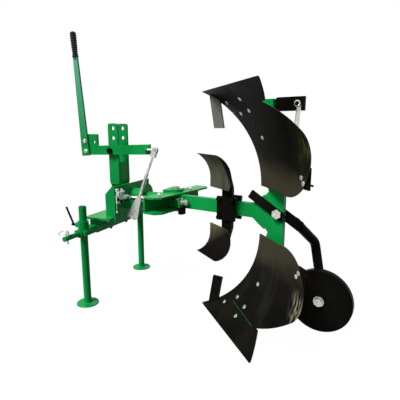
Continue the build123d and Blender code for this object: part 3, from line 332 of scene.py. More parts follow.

# %% [markdown]
# ## Moldboard enamel
#
# On the moldboards a painted reflection turns the black coat to a warm brown towards the beam, with broad
# upright bands of painted reflection. Towards the tails there are streaks of painted reflection: pale ones on
# the lower board, an olive patch on the upper. All follow real places on the board, so the colour is
# measured from the turnover axis and along the beam.

# %% Moldboard enamel
BROWN_FROM = 305.0
BROWN_FULL = 205.0
BROWN_WANDER = 150.0
TAIL = (635.0, 685.0)
STREAK_BOTTOM = (190.0, 250.0)
STREAK_TOP = (370.0, 310.0)
STREAK_WIDTH = 9.0
STREAK_LENGTH = 130.0
BAND_WIDTH = 60.0
BAND_LENGTH = 700.0


def moldboard_enamel():
    material, tree, shader, place, patch = black_coat("moldboard_enamel", ENAMEL_ROUGH, ENAMEL_GLOSS)
    level = measure(tree, place, UP)
    height = add(tree, "ShaderNodeMath", {0: level}, operation="ABSOLUTE").outputs[0]
    wander = add(tree, "ShaderNodeMath", {0: patch, 1: BROWN_WANDER, 2: height},
                 operation="MULTIPLY_ADD").outputs[0]
    # Streaks of painted reflection, kept to the tails and between two heights.
    tail_sheen = add(tree, "ShaderNodeMapRange", {"Value": marks(tree, place, STREAK_WIDTH, STREAK_LENGTH),
                                            "From Min": 0.46, "From Max": 0.68}).outputs[0]
    for value, (start, end) in ((measure(tree, place, beam_rear), TAIL),
                                (height, STREAK_BOTTOM), (height, STREAK_TOP)):
        part = add(tree, "ShaderNodeMapRange", {"Value": value, "From Min": start, "From Max": end},
                   interpolation_type="SMOOTHSTEP")
        tail_sheen = add(tree, "ShaderNodeMath", {0: tail_sheen, 1: part.outputs[0]}, operation="MULTIPLY").outputs[0]
    black = shade(tree, patch, "#080806", "#12110d")
    # Broad upright bands of painted reflection over the black.
    band = marks(tree, place, BAND_WIDTH, BAND_LENGTH)
    banded = shade(tree, band, black, "#25231a", 0.5, 0.68, most=0.45)
    # Painted reflection: a warm brown near the turnover axis.
    coat = shade(tree, wander, banded, "#3c372a", BROWN_FROM, BROWN_FULL, ease="SMOOTHSTEP")
    # Colour of the painted reflection's streaks: pale on the lower board, olive on the upper.
    streaked = shade(tree, level, "#8b8770", "#484722", -1.0, 1.0)
    tree.links.new(shade(tree, tail_sheen, coat, streaked, 0.0, 1.0), shader.inputs["Base Color"])
    return material


BOARD = moldboard_enamel()
print("made", BOARD.name)

# %% [markdown]
# ## Zinc plate
#
# Bolts, pins and the pull rod are zinc plated: a grey-white metal with a soft sheen. An even metal looks
# like chrome, so small clouds change its tone and roughness, as handling does.

# %% Zinc plate
CLOUD = 12.0
PIN_ROUND = 0.6
ZINC_ROUGH = (0.28, 0.46)


def zinc_plate():
    material, tree, shader = blank_material("zinc_plated_steel")
    place = add(tree, "ShaderNodeTexCoord").outputs["Object"]
    cloud = add(tree, "ShaderNodeTexNoise", {"Vector": place, "Scale": grain(CLOUD), "Detail": 4.0})
    rounded = add(tree, "ShaderNodeBevel", {"Radius": PIN_ROUND * MM}, samples=4)
    rough = add(tree, "ShaderNodeMapRange", {
        "Value": cloud.outputs["Fac"], "From Min": 0.3, "From Max": 0.7,
        "To Min": ZINC_ROUGH[0], "To Max": ZINC_ROUGH[1]})
    tree.links.new(shade(tree, cloud.outputs["Fac"], "#b2b4af", "#d6d8d4"), shader.inputs["Base Color"])
    tree.links.new(rough.outputs["Result"], shader.inputs["Roughness"])
    tree.links.new(rounded.outputs["Normal"], shader.inputs["Normal"])
    shader.inputs["Metallic"].default_value = 1.0
    return material


ZINC = zinc_plate()
print("made", ZINC.name)

# %% [markdown]
# ## Moulded rubber
#
# The lever's grip is moulded black rubber: matte, slightly blue, with a fine pebble from the mould. The
# pebble is too fine for geometry, so it is bump, drawn a little coarser than the real one so that it
# shows. The ribs are real geometry, and come with the grip below.

# %% Moulded rubber
PEBBLE = 1.2
RUBBER_ROUGH = 0.62
RUBBER_GLOSS = 0.2


def moulded_rubber():
    material, tree, shader = blank_material("moulded_rubber")
    place = add(tree, "ShaderNodeTexCoord").outputs["Object"]
    pebble = add(tree, "ShaderNodeTexNoise", {"Vector": place, "Scale": grain(PEBBLE), "Detail": 2.0})
    bump = add(tree, "ShaderNodeBump", {"Height": pebble.outputs["Fac"], "Strength": 0.25,
                                        "Distance": 0.4 * MM})
    tree.links.new(shade(tree, pebble.outputs["Fac"], "#15161a", "#202126"), shader.inputs["Base Color"])
    tree.links.new(bump.outputs["Normal"], shader.inputs["Normal"])
    shader.inputs["Roughness"].default_value = RUBBER_ROUGH
    shader.inputs["Specular IOR Level"].default_value = RUBBER_GLOSS
    return material


RUBBER = moulded_rubber()
print("made", RUBBER.name)

# %% [markdown]
# ## Paint the solids
#
# The imported record names a finish for each solid. A few pieces look different from the rest of their
# kind: shares wear their own coat; moldboards, skimmers and the lever's bar wear coats with painted
# reflection; the upper fin is grey; and the lever's pivot bolt is painted over.

# %% Paint the solids
FINISHES = {"green_paint": GREEN, "black_paint": BLACK, "zinc_plate": ZINC, "rubber_grip": RUBBER}
OWN_COATS = {"share_lower": SHARE, "share_upper": SHARE, "moldboard_lower": BOARD, "moldboard_upper": BOARD,
             "skimmer_lower": SKIMMER_LOWER, "skimmer_upper": SKIMMER_UPPER, "fin_coulter_upper": GREY,
             "lever_bolt": BLACK, "lever_bar": LEVER_SHEEN_GREEN}
slot_of = {sub["node"]: sub["material_slot"] for sub in frame["record"]["subparts"]}
for node, solid in frame["nodes"].items():
    solid.data.materials.clear()
    solid.data.materials.append(OWN_COATS.get(node, FINISHES[slot_of[node]]))
print("painted", len(slot_of), "solids")

# %% [markdown]
# ## Growing pieces from node trees
#
# Bolts, weld beads, wires and grip ribs repeat, so each is a Geometry Nodes tree with named sizes. Copies
# of one mesh would do for bolts, but a tree can also turn, scale and sweep. A seed mesh holds the places,
# the tree runs once, and its result is kept as a plain mesh on one body.

# %% Run a tree on a seed mesh
def new_tree(name, sizes):
    """An empty geometry tree with named sizes, and its input node."""
    tree = bpy.data.node_groups.new(name, "GeometryNodeTree")
    tree.interface.new_socket("Geometry", in_out="INPUT", socket_type="NodeSocketGeometry")
    tree.interface.new_socket("Geometry", in_out="OUTPUT", socket_type="NodeSocketGeometry")
    tree.interface.new_socket("Finish", in_out="INPUT", socket_type="NodeSocketMaterial")
    for label, value in sizes.items():
        socket = tree.interface.new_socket(label, in_out="INPUT", socket_type="NodeSocketFloat")
        socket.default_value = value
    return tree, add(tree, "NodeGroupInput")


def close_tree(tree, geometry, start):
    """End a tree in realized geometry with its finish."""
    real = add(tree, "GeometryNodeRealizeInstances", {"Geometry": geometry})
    done = add(tree, "GeometryNodeSetMaterial", {"Geometry": real.outputs[0],
                                                 "Material": start.outputs["Finish"]})
    add(tree, "NodeGroupOutput", {"Geometry": done.outputs[0]})


def keep(name, mesh, body):
    """Keep a plain mesh as a piece that rides on a body."""
    piece = bpy.data.objects.new(name, mesh)
    bpy.context.collection.objects.link(piece)
    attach(piece, body)
    print("kept", name, "on", body, "with", len(mesh.polygons), "faces")
    return piece


def grow(name, tree, seed_mesh, body, slot, **sizes):
    """Run a tree on a seed mesh and keep its result."""
    seed = bpy.data.objects.new(name + "_seed", seed_mesh)
    bpy.context.collection.objects.link(seed)
    modifier = seed.modifiers.new("tree", "NODES")
    modifier.node_group = tree
    values = {label.replace("_", " ").capitalize(): value for label, value in sizes.items()}
    values["Finish"] = FINISHES[slot]
    for item in tree.interface.items_tree:
        if item.in_out == "INPUT" and item.name in values:
            modifier[item.identifier] = values[item.name]
    ready = seed.evaluated_get(bpy.context.evaluated_depsgraph_get())
    mesh = bpy.data.meshes.new_from_object(ready)
    mesh.name = name
    bpy.data.objects.remove(seed)
    return keep(name, mesh, body)


print("ready to grow pieces")

# %% [markdown]
# ## Hexagon bolts
#
# A bolt head is a hexagon with a turned chamfer on a round washer, and a nut also shows the thread's end.
# The tree sets one such bolt, drawn for a thread 1 mm thick, at each point, turned to its facing and
# scaled to its thread. A random turn keeps the flats from lining up, as a spanner leaves them. Washer,
# head, chamfered cap and shank are closed shells, and the cap sinks a little into the head.

# %% The bolt tree
BOLT_SEED = 7
CAP_HEIGHT = 0.12
SINK = 0.03
HIDDEN_SHANK = 0.3
FLAT = math.tau / 6


def set_at_points(tree, start, bolt, most_turn=FLAT):
    """Set a bolt at each point, turned to its facing and scaled to its thread, and close the tree."""
    facing = add(tree, "GeometryNodeInputNamedAttribute", {"Name": "facing"}, data_type="FLOAT_VECTOR")
    size = add(tree, "GeometryNodeInputNamedAttribute", {"Name": "thread"}, data_type="FLOAT")
    spin = add(tree, "FunctionNodeRandomValue", {2: 0.0, 3: most_turn, "Seed": BOLT_SEED}, data_type="FLOAT")
    turn = add(tree, "FunctionNodeAxisAngleToRotation", {"Axis": (0, 0, 1), "Angle": spin.outputs[1]})
    aim = add(tree, "FunctionNodeAlignRotationToVector", {"Vector": facing.outputs[0]}, axis="Z")
    pose = add(tree, "FunctionNodeRotateRotation", {"Rotation": aim.outputs[0],
                                                    "Rotate By": turn.outputs[0]}, rotation_space="LOCAL")
    placed = add(tree, "GeometryNodeInstanceOnPoints", {
        "Points": start.outputs["Geometry"], "Instance": bolt, "Rotation": pose.outputs[0],
        "Scale": size.outputs[0]})
    close_tree(tree, placed.outputs[0], start)


def bolt_tree():
    tree, start = new_tree("hexagon_bolts", {"Head width": 1.72, "Head height": 0.66, "Washer width": 2.1,
                                             "Washer height": 0.16, "Thread end": 0.0})
    radius = {}
    for part, width, share in (("washer", "Washer width", 1.0), ("head", "Head width", 1.0),
                               ("root", "Head width", 0.99), ("chamfer", "Head width", 0.86)):
        radius[part] = add(tree, "ShaderNodeMath", {0: start.outputs[width], 1: share / 2},
                           operation="MULTIPLY").outputs[0]
    shank = add(tree, "ShaderNodeMath", {0: start.outputs["Thread end"], 1: HIDDEN_SHANK},
                operation="MAXIMUM")
    washer, head, cap, thread = (
        add(tree, "GeometryNodeMeshCone", {"Vertices": sides, "Radius Bottom": bottom, "Radius Top": top,
                                           "Depth": depth}).outputs["Mesh"]
        for sides, bottom, top, depth in (
            (24, radius["washer"], radius["washer"], start.outputs["Washer height"]),
            (6, radius["head"], radius["head"], start.outputs["Head height"]),
            (6, radius["root"], radius["chamfer"], CAP_HEIGHT + SINK),
            (14, 0.5, 0.46, shank.outputs[0])))
    sunk = add(tree, "ShaderNodeMath", {0: start.outputs["Head height"], 1: SINK}, operation="SUBTRACT")
    lift = add(tree, "ShaderNodeCombineXYZ", {"Z": sunk.outputs[0]})
    raised = add(tree, "GeometryNodeTransform", {"Geometry": cap, "Translation": lift.outputs[0]})
    bolt = add(tree, "GeometryNodeJoinGeometry", {"Geometry": [washer, head, raised.outputs[0], thread]})
    set_at_points(tree, start, bolt.outputs[0])
    return tree


BOLTS = bolt_tree()


def places(spots):
    """A mesh of points, each with the way it faces and its thread in millimetres."""
    mesh = bpy.data.meshes.new("places")
    mesh.from_pydata([place for place, _, _ in spots], [], [])
    mesh.attributes.new("facing", "FLOAT_VECTOR", "POINT")
    mesh.attributes.new("thread", "FLOAT", "POINT")
    mesh.attributes["facing"].data.foreach_set("vector", [c for _, facing, _ in spots for c in facing])
    mesh.attributes["thread"].data.foreach_set("value", [thread * MM for _, _, thread in spots])
    return mesh


print("bolt tree with", len(BOLTS.nodes), "nodes")

# %% Bolts of the lever and of the pull rod's pin
LEVER_FACE_Y = -72.0
LEVER_BACK_Y = -52.0
LEVER_BOLT_SPOTS = ((-103.5, 743.0), (-101.0, 695.0))
LEVER_THREAD = 10.0
ROD_NUT = 7.0
ROD_EYE = 11.0
NUT_END = 1.0
lever_heads = [(at_hitch(x, LEVER_FACE_Y, z), -RIGHT, LEVER_THREAD) for x, z in LEVER_BOLT_SPOTS]
lever_nuts = [(at_hitch(x, LEVER_BACK_Y, z), RIGHT, LEVER_THREAD) for x, z in LEVER_BOLT_SPOTS]
pin_low, pin_high = corners("rod_pin")
pin_x = corners("pull_rod")[1].x - ROD_EYE
pin_z = (pin_low.z + pin_high.z) / 2
lever_heads.append((at_hitch(pin_x, pin_low.y, pin_z), -RIGHT, ROD_NUT))
lever_nuts.append((at_hitch(pin_x, pin_high.y, pin_z), RIGHT, ROD_NUT))
grow("lever_bolt_heads", BOLTS, places(lever_heads), "lever", "zinc_plate")
grow("lever_bolt_nuts", BOLTS, places(lever_nuts), "lever", "zinc_plate", thread_end=NUT_END)

# %% [markdown]
# ## Plough bolts
#
# Shares and moldboards are held by plough bolts with flush domed heads, so that soil slides over them.
# Their places are marked out from the side, in millimetres along the beam and from the turnover axis.
# The steel is curved, so a ray cast across the beam drops each one onto it and gives the way it faces.

# %% The domed bolt tree
def dome_tree():
    tree, start = new_tree("plough_bolts", {"Head width": 1.9, "Crown": 0.16})
    half = add(tree, "ShaderNodeMath", {0: start.outputs["Head width"], 1: 0.5}, operation="MULTIPLY")
    ball = add(tree, "GeometryNodeMeshUVSphere", {"Segments": 24, "Rings": 12, "Radius": 1.0})
    scale = add(tree, "ShaderNodeCombineXYZ", {"X": half.outputs[0], "Y": half.outputs[0],
                                               "Z": start.outputs["Crown"]})
    dome = add(tree, "GeometryNodeTransform", {"Geometry": ball.outputs["Mesh"], "Scale": scale.outputs[0]})
    set_at_points(tree, start, dome.outputs[0], most_turn=0.0)
    return tree


DOMES = dome_tree()
print("domed bolt tree with", len(DOMES.nodes), "nodes")

# %% Bolts on shares, moldboards and landsides
CAST_FROM = 600.0
SHARE_SPOTS = ((292, 424), (391, 428))
BOARD_SPOTS = ((362, 380), (421, 387), (465, 289))
PAINTED_SPOT = (441, 350)
TAIL_SPOTS = ((661, 167), (671, 150))
LANDSIDE_SPOTS = ((400, 402), (455, 402))
PLOUGH_BOLT = 9.0
PLOUGH_NUT_END = 1.4
ENDS = (("lower", -1), ("upper", 1))


def seat(node, start, way):
    """Where a line first meets a solid, and the normal there that faces the line's start."""
    mesh = frame["nodes"][node].data
    tree = BVHTree.FromPolygons([v.co for v in mesh.vertices], [p.vertices for p in mesh.polygons])
    place, normal = tree.ray_cast(start, way)[:2]
    return place, normal if normal.dot(way) < 0 else -normal


def beside(node, x, z, side):
    """Where a line across the beam meets a solid, from the left (-1) or the right (1)."""
    return seat(node, at_beam(x, side * CAST_FROM, z), -side * beam_right)


heads, nuts, painted = [], [], []
for end, way in ENDS:
    for kind, spots in (("share", SHARE_SPOTS), ("moldboard", BOARD_SPOTS + TAIL_SPOTS)):
        for x, h in spots:
            heads.append((*beside(f"{kind}_{end}", x, way * h, -1), PLOUGH_BOLT))
    painted.append((*beside(f"moldboard_{end}", PAINTED_SPOT[0], way * PAINTED_SPOT[1], -1), PLOUGH_BOLT))
    for x, h in LANDSIDE_SPOTS:
        heads.append((*beside(f"landside_{end}", x, way * h, 1), PLOUGH_BOLT))
    for x, h in BOARD_SPOTS[1:] + (PAINTED_SPOT,) + TAIL_SPOTS:
        nuts.append((*beside(f"moldboard_{end}", x, way * h, 1), PLOUGH_BOLT))
grow("plough_bolt_heads", DOMES, places(heads), "turnover", "zinc_plate")
grow("painted_bolt_heads", DOMES, places(painted), "turnover", "black_paint")
grow("plough_bolt_nuts", BOLTS, places(nuts), "turnover", "zinc_plate", thread_end=PLOUGH_NUT_END)

# %% [markdown]
# ## Wires and beads
#
# Linch pins, rings, stiff wires and weld beads all follow a line with a round section. A seed mesh holds
# the lines and, at each point, how thick the wire is. One tree sweeps a circle along them, and a ripple
# along the length turns a plain wire into the scales of a weld.

# %% The wire tree
def wire_tree():
    tree, start = new_tree("wires_and_beads", {"Ripple": 0.0, "Pitch": 4.0 * MM, "Step": 1.5 * MM})
    path = add(tree, "GeometryNodeMeshToCurve", {0: start.outputs["Geometry"]})
    fine = add(tree, "GeometryNodeResampleCurve", {"Curve": path.outputs[0],
                                                   "Length": start.outputs["Step"]}, mode="LENGTH")
    along = add(tree, "GeometryNodeSplineParameter").outputs["Length"]
    turns = add(tree, "ShaderNodeMath", {0: along, 1: start.outputs["Pitch"]}, operation="DIVIDE")
    phase = add(tree, "ShaderNodeMath", {0: turns.outputs[0], 1: math.tau}, operation="MULTIPLY")
    wave = add(tree, "ShaderNodeMath", {0: phase.outputs[0]}, operation="SINE")
    swell = add(tree, "ShaderNodeMath", {0: wave.outputs[0], 1: start.outputs["Ripple"], 2: 1.0},
                operation="MULTIPLY_ADD")
    thick = add(tree, "GeometryNodeInputNamedAttribute", {"Name": "thickness"}, data_type="FLOAT")
    radius = add(tree, "ShaderNodeMath", {0: thick.outputs[0], 1: swell.outputs[0]}, operation="MULTIPLY")
    circle = add(tree, "GeometryNodeCurvePrimitiveCircle", {"Resolution": 10, "Radius": 0.5})
    skin = add(tree, "GeometryNodeCurveToMesh", {
        "Curve": fine.outputs[0], "Profile Curve": circle.outputs[0], "Scale": radius.outputs[0],
        "Fill Caps": True})
    close_tree(tree, skin.outputs[0], start)
    return tree


WIRES = wire_tree()


def lines(runs):
    """A mesh of lines, each with its thickness in millimetres; one that ends where it starts is closed."""
    points, edges, thick = [], [], []
    for run, thickness in runs:
        first = len(points)
        closed = (run[0] - run[-1]).length < 1e-6
        own = run[:-1] if closed else run
        points += own
        thick += [thickness * MM] * len(own)
        edges += [(first + i, first + i + 1) for i in range(len(own) - 1)]
        if closed:
            edges.append((first + len(own) - 1, first))
    mesh = bpy.data.meshes.new("lines")
    mesh.from_pydata(points, edges, [])
    mesh.attributes.new("thickness", "FLOAT", "POINT")
    mesh.attributes["thickness"].data.foreach_set("value", thick)
    return mesh


def ring(centre, radius, across, over, count=40):
    """A closed circle of points about a centre, in the plane of two directions."""
    turns = [math.tau * i / count for i in range(count)]
    points = [centre + (across * math.cos(t) + over * math.sin(t)) * radius * MM for t in turns]
    return points + points[:1]


print("wire tree with", len(WIRES.nodes), "nodes")

# %% [markdown]
# ## Linch pins
#
# A linch pin drops through the hole in each hitch pin and keeps the tractor's lower link on. Its spring
# ring snaps over the end of the hitch pin. Shank, head and ring are all round wire of three thicknesses,
# so the wire tree makes them in one go.

# %% Linch pins with their rings
LINCH_Y = 352.0
LINCH_FOOT = 318.0
LINCH_NECK = 355.0
LINCH_TOP = 372.0
LINCH_SHANK = 9.5
LINCH_HEAD = 15.0
RING_RADIUS = 21.0
RING_WIRE = 4.0
RING_AHEAD = 20.0
RING_BELOW = 8.0
RING_TILT = 0.2
ring_over = (RIGHT + UP * RING_TILT).normalized()
linch_runs = []
for y in (-LINCH_Y, LINCH_Y):
    foot, neck, top = (at_hitch(0, y, z) for z in (LINCH_FOOT, LINCH_NECK, LINCH_TOP))
    ring_centre = at_hitch(-RING_AHEAD, y, LINCH_TOP - RING_BELOW)
    linch_runs += [([foot, neck], LINCH_SHANK), ([neck, top], LINCH_HEAD),
                   (ring(ring_centre, RING_RADIUS, REAR, ring_over), RING_WIRE)]
grow("linch_pins", WIRES, lines(linch_runs), "headstock", "zinc_plate")

# %% [markdown]
# ## Weld beads
#
# The headstock is a weldment, and its seams show as rounded, rippled beads under the paint. Bump could
# fake the ripple but not the fillet, so each bead is a real one along the corner between two plates, and
# its line is taken from the solids' own corners.

# %% Weld beads on the headstock, shaft and feet
BEAD = 7.0
FOOT_BEAD = 6.0
RIPPLE = 0.09
RIPPLE_PITCH = 4.5
SIDE_PLATE = 10.0
SHAFT_RADIUS = 25.0
mast_low, mast_high = corners("mast_box")
plate_low, plate_high = corners("mast_plate_right")
web_low, web_high = corners("headstock_web")
bearing_low, bearing_high = corners("bearing_tube")
sides_front = corners("headstock_sides")[0].x
axis_z = (bearing_low.z + bearing_high.z) / 2
base_top = mast_low.z


def upright_seam(x, y, low, high):
    return [at_hitch(x, y, low), at_hitch(x, y, high)]


def level_seam(x, y, z, to_x, to_y):
    return [at_hitch(x, y, z), at_hitch(to_x, to_y, z)]


def weld(name, seams, body, bead):
    """Grow rippled beads of one thickness along seams."""
    grow(name, WIRES, lines([(seam, bead) for seam in seams]), body, "green_paint",
         ripple=RIPPLE, pitch=RIPPLE_PITCH * MM)


inside = web_high.y - SIDE_PLATE
seams = []
for side in (-1, 1):
    mast_y, plate_y = side * mast_high.y, side * plate_low.y
    seams.append(level_seam(mast_low.x, mast_y, base_top, mast_high.x, mast_y))
    for y in (side * inside, side * web_high.y):
        seams.append(level_seam(sides_front, y, base_top, web_low.x, y))
    seams.append(upright_seam(web_low.x, side * inside, base_top, web_high.z))
    seams.append(level_seam(plate_low.x, plate_y, plate_low.z, plate_high.x, plate_y))
    for x in (plate_low.x, plate_high.x):
        seams.append(upright_seam(x, plate_y, plate_low.z, mast_high.z))
for x in (mast_low.x, mast_high.x):
    seams.append(level_seam(x, -mast_high.y, base_top, x, mast_high.y))
seams.append(level_seam(web_low.x, web_low.y + SIDE_PLATE, base_top, web_low.x, inside))
for x in (web_low.x, web_high.x):
    seams.append(ring(at_hitch(x, 0, axis_z), bearing_high.y, RIGHT, UP))
for node in ("leg_socket_left", "leg_socket_right"):
    low, high = corners(node)
    seams.append(ring(at_hitch(0, (low.y + high.y) / 2, low.z), high.x, REAR, RIGHT))
weld("headstock_welds", seams, "headstock", BEAD)

for body in ("leg_left", "leg_right"):
    low, high = corners(body.replace("leg", "leg_tube"))
    foot_seam = ring(at_hitch(0, (low.y + high.y) / 2, low.z), high.x, REAR, RIGHT)
    weld(body + "_weld", [foot_seam], body, FOOT_BEAD)

shaft_end = corners("shaft_head")[0].x
weld("shaft_weld", [ring(at_hitch(shaft_end, 0, axis_z), SHAFT_RADIUS, RIGHT, UP)], "turnover", BEAD)

# %% [markdown]
# ## Turned and plate pieces
#
# Small fittings that appear once need no tree. They are built directly: a turned piece from its half
# profile, as on a lathe, and a plate from two corners with its edges bevelled.

# %% Turned pieces and plates
def turned(profile, origin, axis, count=32):
    """Points and faces of a closed half profile of (radius, along) in millimetres, turned about an axis."""
    across = axis.orthogonal().normalized()
    over = axis.cross(across)
    points, faces = [], []
    for i in range(count):
        way = across * math.cos(math.tau * i / count) + over * math.sin(math.tau * i / count)
        points += [origin + (way * radius + axis * along) * MM for radius, along in profile]
    size = len(profile)
    for i in range(count):
        for j in range(size):
            here, there = i * size, (i + 1) % count * size
            faces.append((here + j, there + j, there + (j + 1) % size, here + (j + 1) % size))
    return points, faces


def slab(place, low, high, rounding):
    """Points and faces of a plate between two corners, measured by a landmark, with bevelled edges."""
    form = bmesh.new()
    bmesh.ops.create_cube(form, size=1.0)
    for vertex in form.verts:
        vertex.co = [a + (b - a) * (c + 0.5) for a, b, c in zip(low, high, vertex.co)]
    bmesh.ops.bevel(form, geom=form.edges[:], offset=rounding, segments=2, profile=0.5, affect="EDGES")
    form.verts.index_update()
    points = [place(*vertex.co) for vertex in form.verts]
    faces = [[vertex.index for vertex in face.verts] for face in form.faces]
    form.free()
    return points, faces


def fitting(name, forms, body, slot):
    """Keep several turned pieces and plates as one piece."""
    points, faces = [], []
    for own_points, own_faces in forms:
        first = len(points)
        points += own_points
        faces += [[first + i for i in face] for face in own_faces]
    mesh = bpy.data.meshes.new(name)
    mesh.from_pydata(points, [], faces)
    form = bmesh.new()
    form.from_mesh(mesh)
    bmesh.ops.remove_doubles(form, verts=form.verts[:], dist=1e-6)
    bmesh.ops.recalc_face_normals(form, faces=form.faces[:])
    form.to_mesh(mesh)
    form.free()
    mesh.materials.append(FINISHES[slot])
    return keep(name, mesh, body)


def pin(radius, start, end, chamfer=1.0):
    """The half profile of a plain pin between two distances along its axis."""
    return [(0, start), (radius - chamfer, start), (radius, start + chamfer), (radius, end - chamfer),
            (radius - chamfer, end), (0, end)]


print("turned pieces and plates ready")

# %% [markdown]
# ## The turnover lock
#
# On the web's rear face sits a small cast latch. A spring rod runs from it to the lock pin's bush, and a
# stiff release wire with a ball points down from its lower corner. The casting is four rounded plates that
# run into each other. The lock disc carries a steel bush at each lock hole. Two black bolts under the
# hitch bar are set here too.

# %% Latch casting, its bolts and its release wire
# Each plate is two corners and a rounding: the casting, its foot plate and two ears.
LATCH_PLATES = (((0, -156, 494), (22, -104, 522), 6.0), ((0, -156, 462), (9, -98, 500), 3.0),
                ((0, -158, 516), (14, -142, 534), 4.0), ((0, -122, 514), (14, -108, 530), 4.0))
LATCH_ROD = (16, -122, 488)
ROD_PROFILES = (pin(7.5, 0, 46), pin(10.5, 14, 28))
LATCH_BOLTS = ((9, -146, 482), (9, -124, 470))
LATCH_THREAD = 7.0
RELEASE_WIRE = ((5, -153, 468), (6, -154, 450), (6, -155, 430))
RELEASE_BALL = ((6, -155, 431), (6, -155, 421))
WIRE_THICK = 2.6
BALL_THICK = 10.0


def at_web(x, y, z):
    """A point behind the web's rear face, to the right and above the floor, in millimetres."""
    return at_hitch(web_high.x + x, y, z)


latch = [slab(at_web, *plate) for plate in LATCH_PLATES]
latch += [turned(profile, at_web(*LATCH_ROD), RIGHT) for profile in ROD_PROFILES]
fitting("lock_latch", latch, "headstock", "zinc_plate")
latch_bolts = [(at_web(*spot), REAR, LATCH_THREAD) for spot in LATCH_BOLTS]
grow("lock_latch_bolts", BOLTS, places(latch_bolts), "headstock", "black_paint")
wire, ball = ([at_web(*spot) for spot in spots] for spots in (RELEASE_WIRE, RELEASE_BALL))
release_runs = lines([(wire, WIRE_THICK), (ball, BALL_THICK)])
grow("lock_release_wire", WIRES, release_runs, "headstock", "zinc_plate")

# %% Bolts under the hitch bar and bushes in the lock disc
BAR_BOLT_X = 20.0
BAR_BOLT_Y = 68.0
BAR_THREAD = 10.0
BAR_BOLT_END = 1.1
DISC_REAR = 189.0
LOCK_RADIUS = 52.0
BUSH = ((9.5, 0), (13.5, 0), (13.5, 9), (12, 10), (12, 14), (13.5, 15), (13.5, 25), (12, 26.5), (9.5, 26.5))
bar_bolts = [(*seat("cross_bar", at_hitch(BAR_BOLT_X, y, 0), UP), BAR_THREAD)
             for y in (-BAR_BOLT_Y, BAR_BOLT_Y)]
grow("bar_bolts", BOLTS, places(bar_bolts), "headstock", "black_paint", thread_end=BAR_BOLT_END)
bushes = [turned(BUSH, at_hitch(DISC_REAR, y, axis_z), REAR) for y in (-LOCK_RADIUS, LOCK_RADIUS)]
fitting("lock_bushes", bushes, "turnover", "zinc_plate")

# %% [markdown]
# ## The lever's grip
#
# A moulded grip slips over the lever's end, with ribs for the hand. The tree sweeps a circle along the
# lever's end and lets its radius follow a wave, so that the ribs are real geometry. A curve rounds both
# ends.

# %% The ribbed grip
RIBS = 11.0
GRIP_ENDS = (0.86, 0.45)
GRIP_SWELL = ((0.03, 0.98), (0.06, 0.86), (0.5, 0.9), (0.93, 0.9), (0.97, 0.78))
GRIP_START = (-134.6, -67.0, 1132.5)
GRIP_END = (-142.0, -67.0, 1243.6)


def grip_tree():
    tree, start = new_tree("ribbed_grip", {"Radius": 15.0 * MM, "Rib depth": 1.6 * MM, "Ribs": RIBS})
    path = add(tree, "GeometryNodeMeshToCurve", {0: start.outputs["Geometry"]})
    fine = add(tree, "GeometryNodeResampleCurve", {"Curve": path.outputs[0], "Count": 160})
    along = add(tree, "GeometryNodeSplineParameter").outputs["Factor"]
    phase = add(tree, "ShaderNodeMath", {0: along, 1: start.outputs["Ribs"]}, operation="MULTIPLY")
    turns = add(tree, "ShaderNodeMath", {0: phase.outputs[0], 1: math.tau}, operation="MULTIPLY")
    wave = add(tree, "ShaderNodeMath", {0: turns.outputs[0]}, operation="SINE")
    radius = add(tree, "ShaderNodeMath", {0: wave.outputs[0], 1: start.outputs["Rib depth"],
                                          2: start.outputs["Radius"]}, operation="MULTIPLY_ADD")
    ends = add(tree, "ShaderNodeFloatCurve", {"Value": along})
    curve = ends.mapping.curves[0]
    for point, height in zip(curve.points, GRIP_ENDS):
        point.location.y = height
    for place in GRIP_SWELL:
        curve.points.new(*place)
    ends.mapping.update()
    shaped = add(tree, "ShaderNodeMath", {0: radius.outputs[0], 1: ends.outputs[0]}, operation="MULTIPLY")
    circle = add(tree, "GeometryNodeCurvePrimitiveCircle", {"Resolution": 28, "Radius": 1.0})
    skin = add(tree, "GeometryNodeCurveToMesh", {
        "Curve": fine.outputs[0], "Profile Curve": circle.outputs[0], "Scale": shaped.outputs[0],
        "Fill Caps": True})
    close_tree(tree, skin.outputs[0], start)
    return tree


grip_line = lines([([at_hitch(*GRIP_START), at_hitch(*GRIP_END)], 1.0)])
grip = grow("lever_grip_rubber", grip_tree(), grip_line, "lever", "rubber_grip")
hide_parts("lever_grip")

# %% [markdown]
# ## Fittings along the beam
#
# At the beam's root a setting screw stands in a small welded plate, with a black stop under it. Each
# body's stay ends in an eye that is bolted to the landside. A black lug with a stud stiffens each
# moldboard's tail, and a thread of green shows in the seam between the lower share and its moldboard.
# All are turned pieces, plates, bolts and wires, so nothing new is needed but their places.

# %% Setting screw and stop at the beam's root
BEAM_FACE = -42.5
CHANNEL_TOP = 37.0
CHANNEL_SPOTS = ((5, 62), (24, 84), (5, -130), (24, -152))
ROOT_SPOT = (36, BEAM_FACE, 5)
ROOT_THREAD = 10.0
ROOT_BOLT_END = 0.9
SCREW_Y = -60.0
SCREW_Z = 2.0
SCREW_NUT_X = 98.0
SCREW_THREAD = 14.0
SCREW_PROFILES = (pin(17, 80, 87), pin(9, 60, 100))
SCREW_PLATE = ((70, -80, -24), (80, BEAM_FACE, 22), 2.0)
STOP_PLATES = (((66, -76, -54), (90, -46, -22), 3.0), ((70, -80, -48), (84, -76, -30), 1.5))
root_bolts = [(at_beam(*ROOT_SPOT), -beam_right, ROOT_THREAD)]
for x, y in CHANNEL_SPOTS:
    for way in (1, -1):
        root_bolts.append((at_beam(x, y, way * CHANNEL_TOP), way * UP, ROOT_THREAD))
root_bolts.append((at_beam(SCREW_NUT_X, SCREW_Y, SCREW_Z), beam_rear, SCREW_THREAD))
grow("beam_bolts", BOLTS, places(root_bolts), "turnover", "zinc_plate", thread_end=ROOT_BOLT_END)
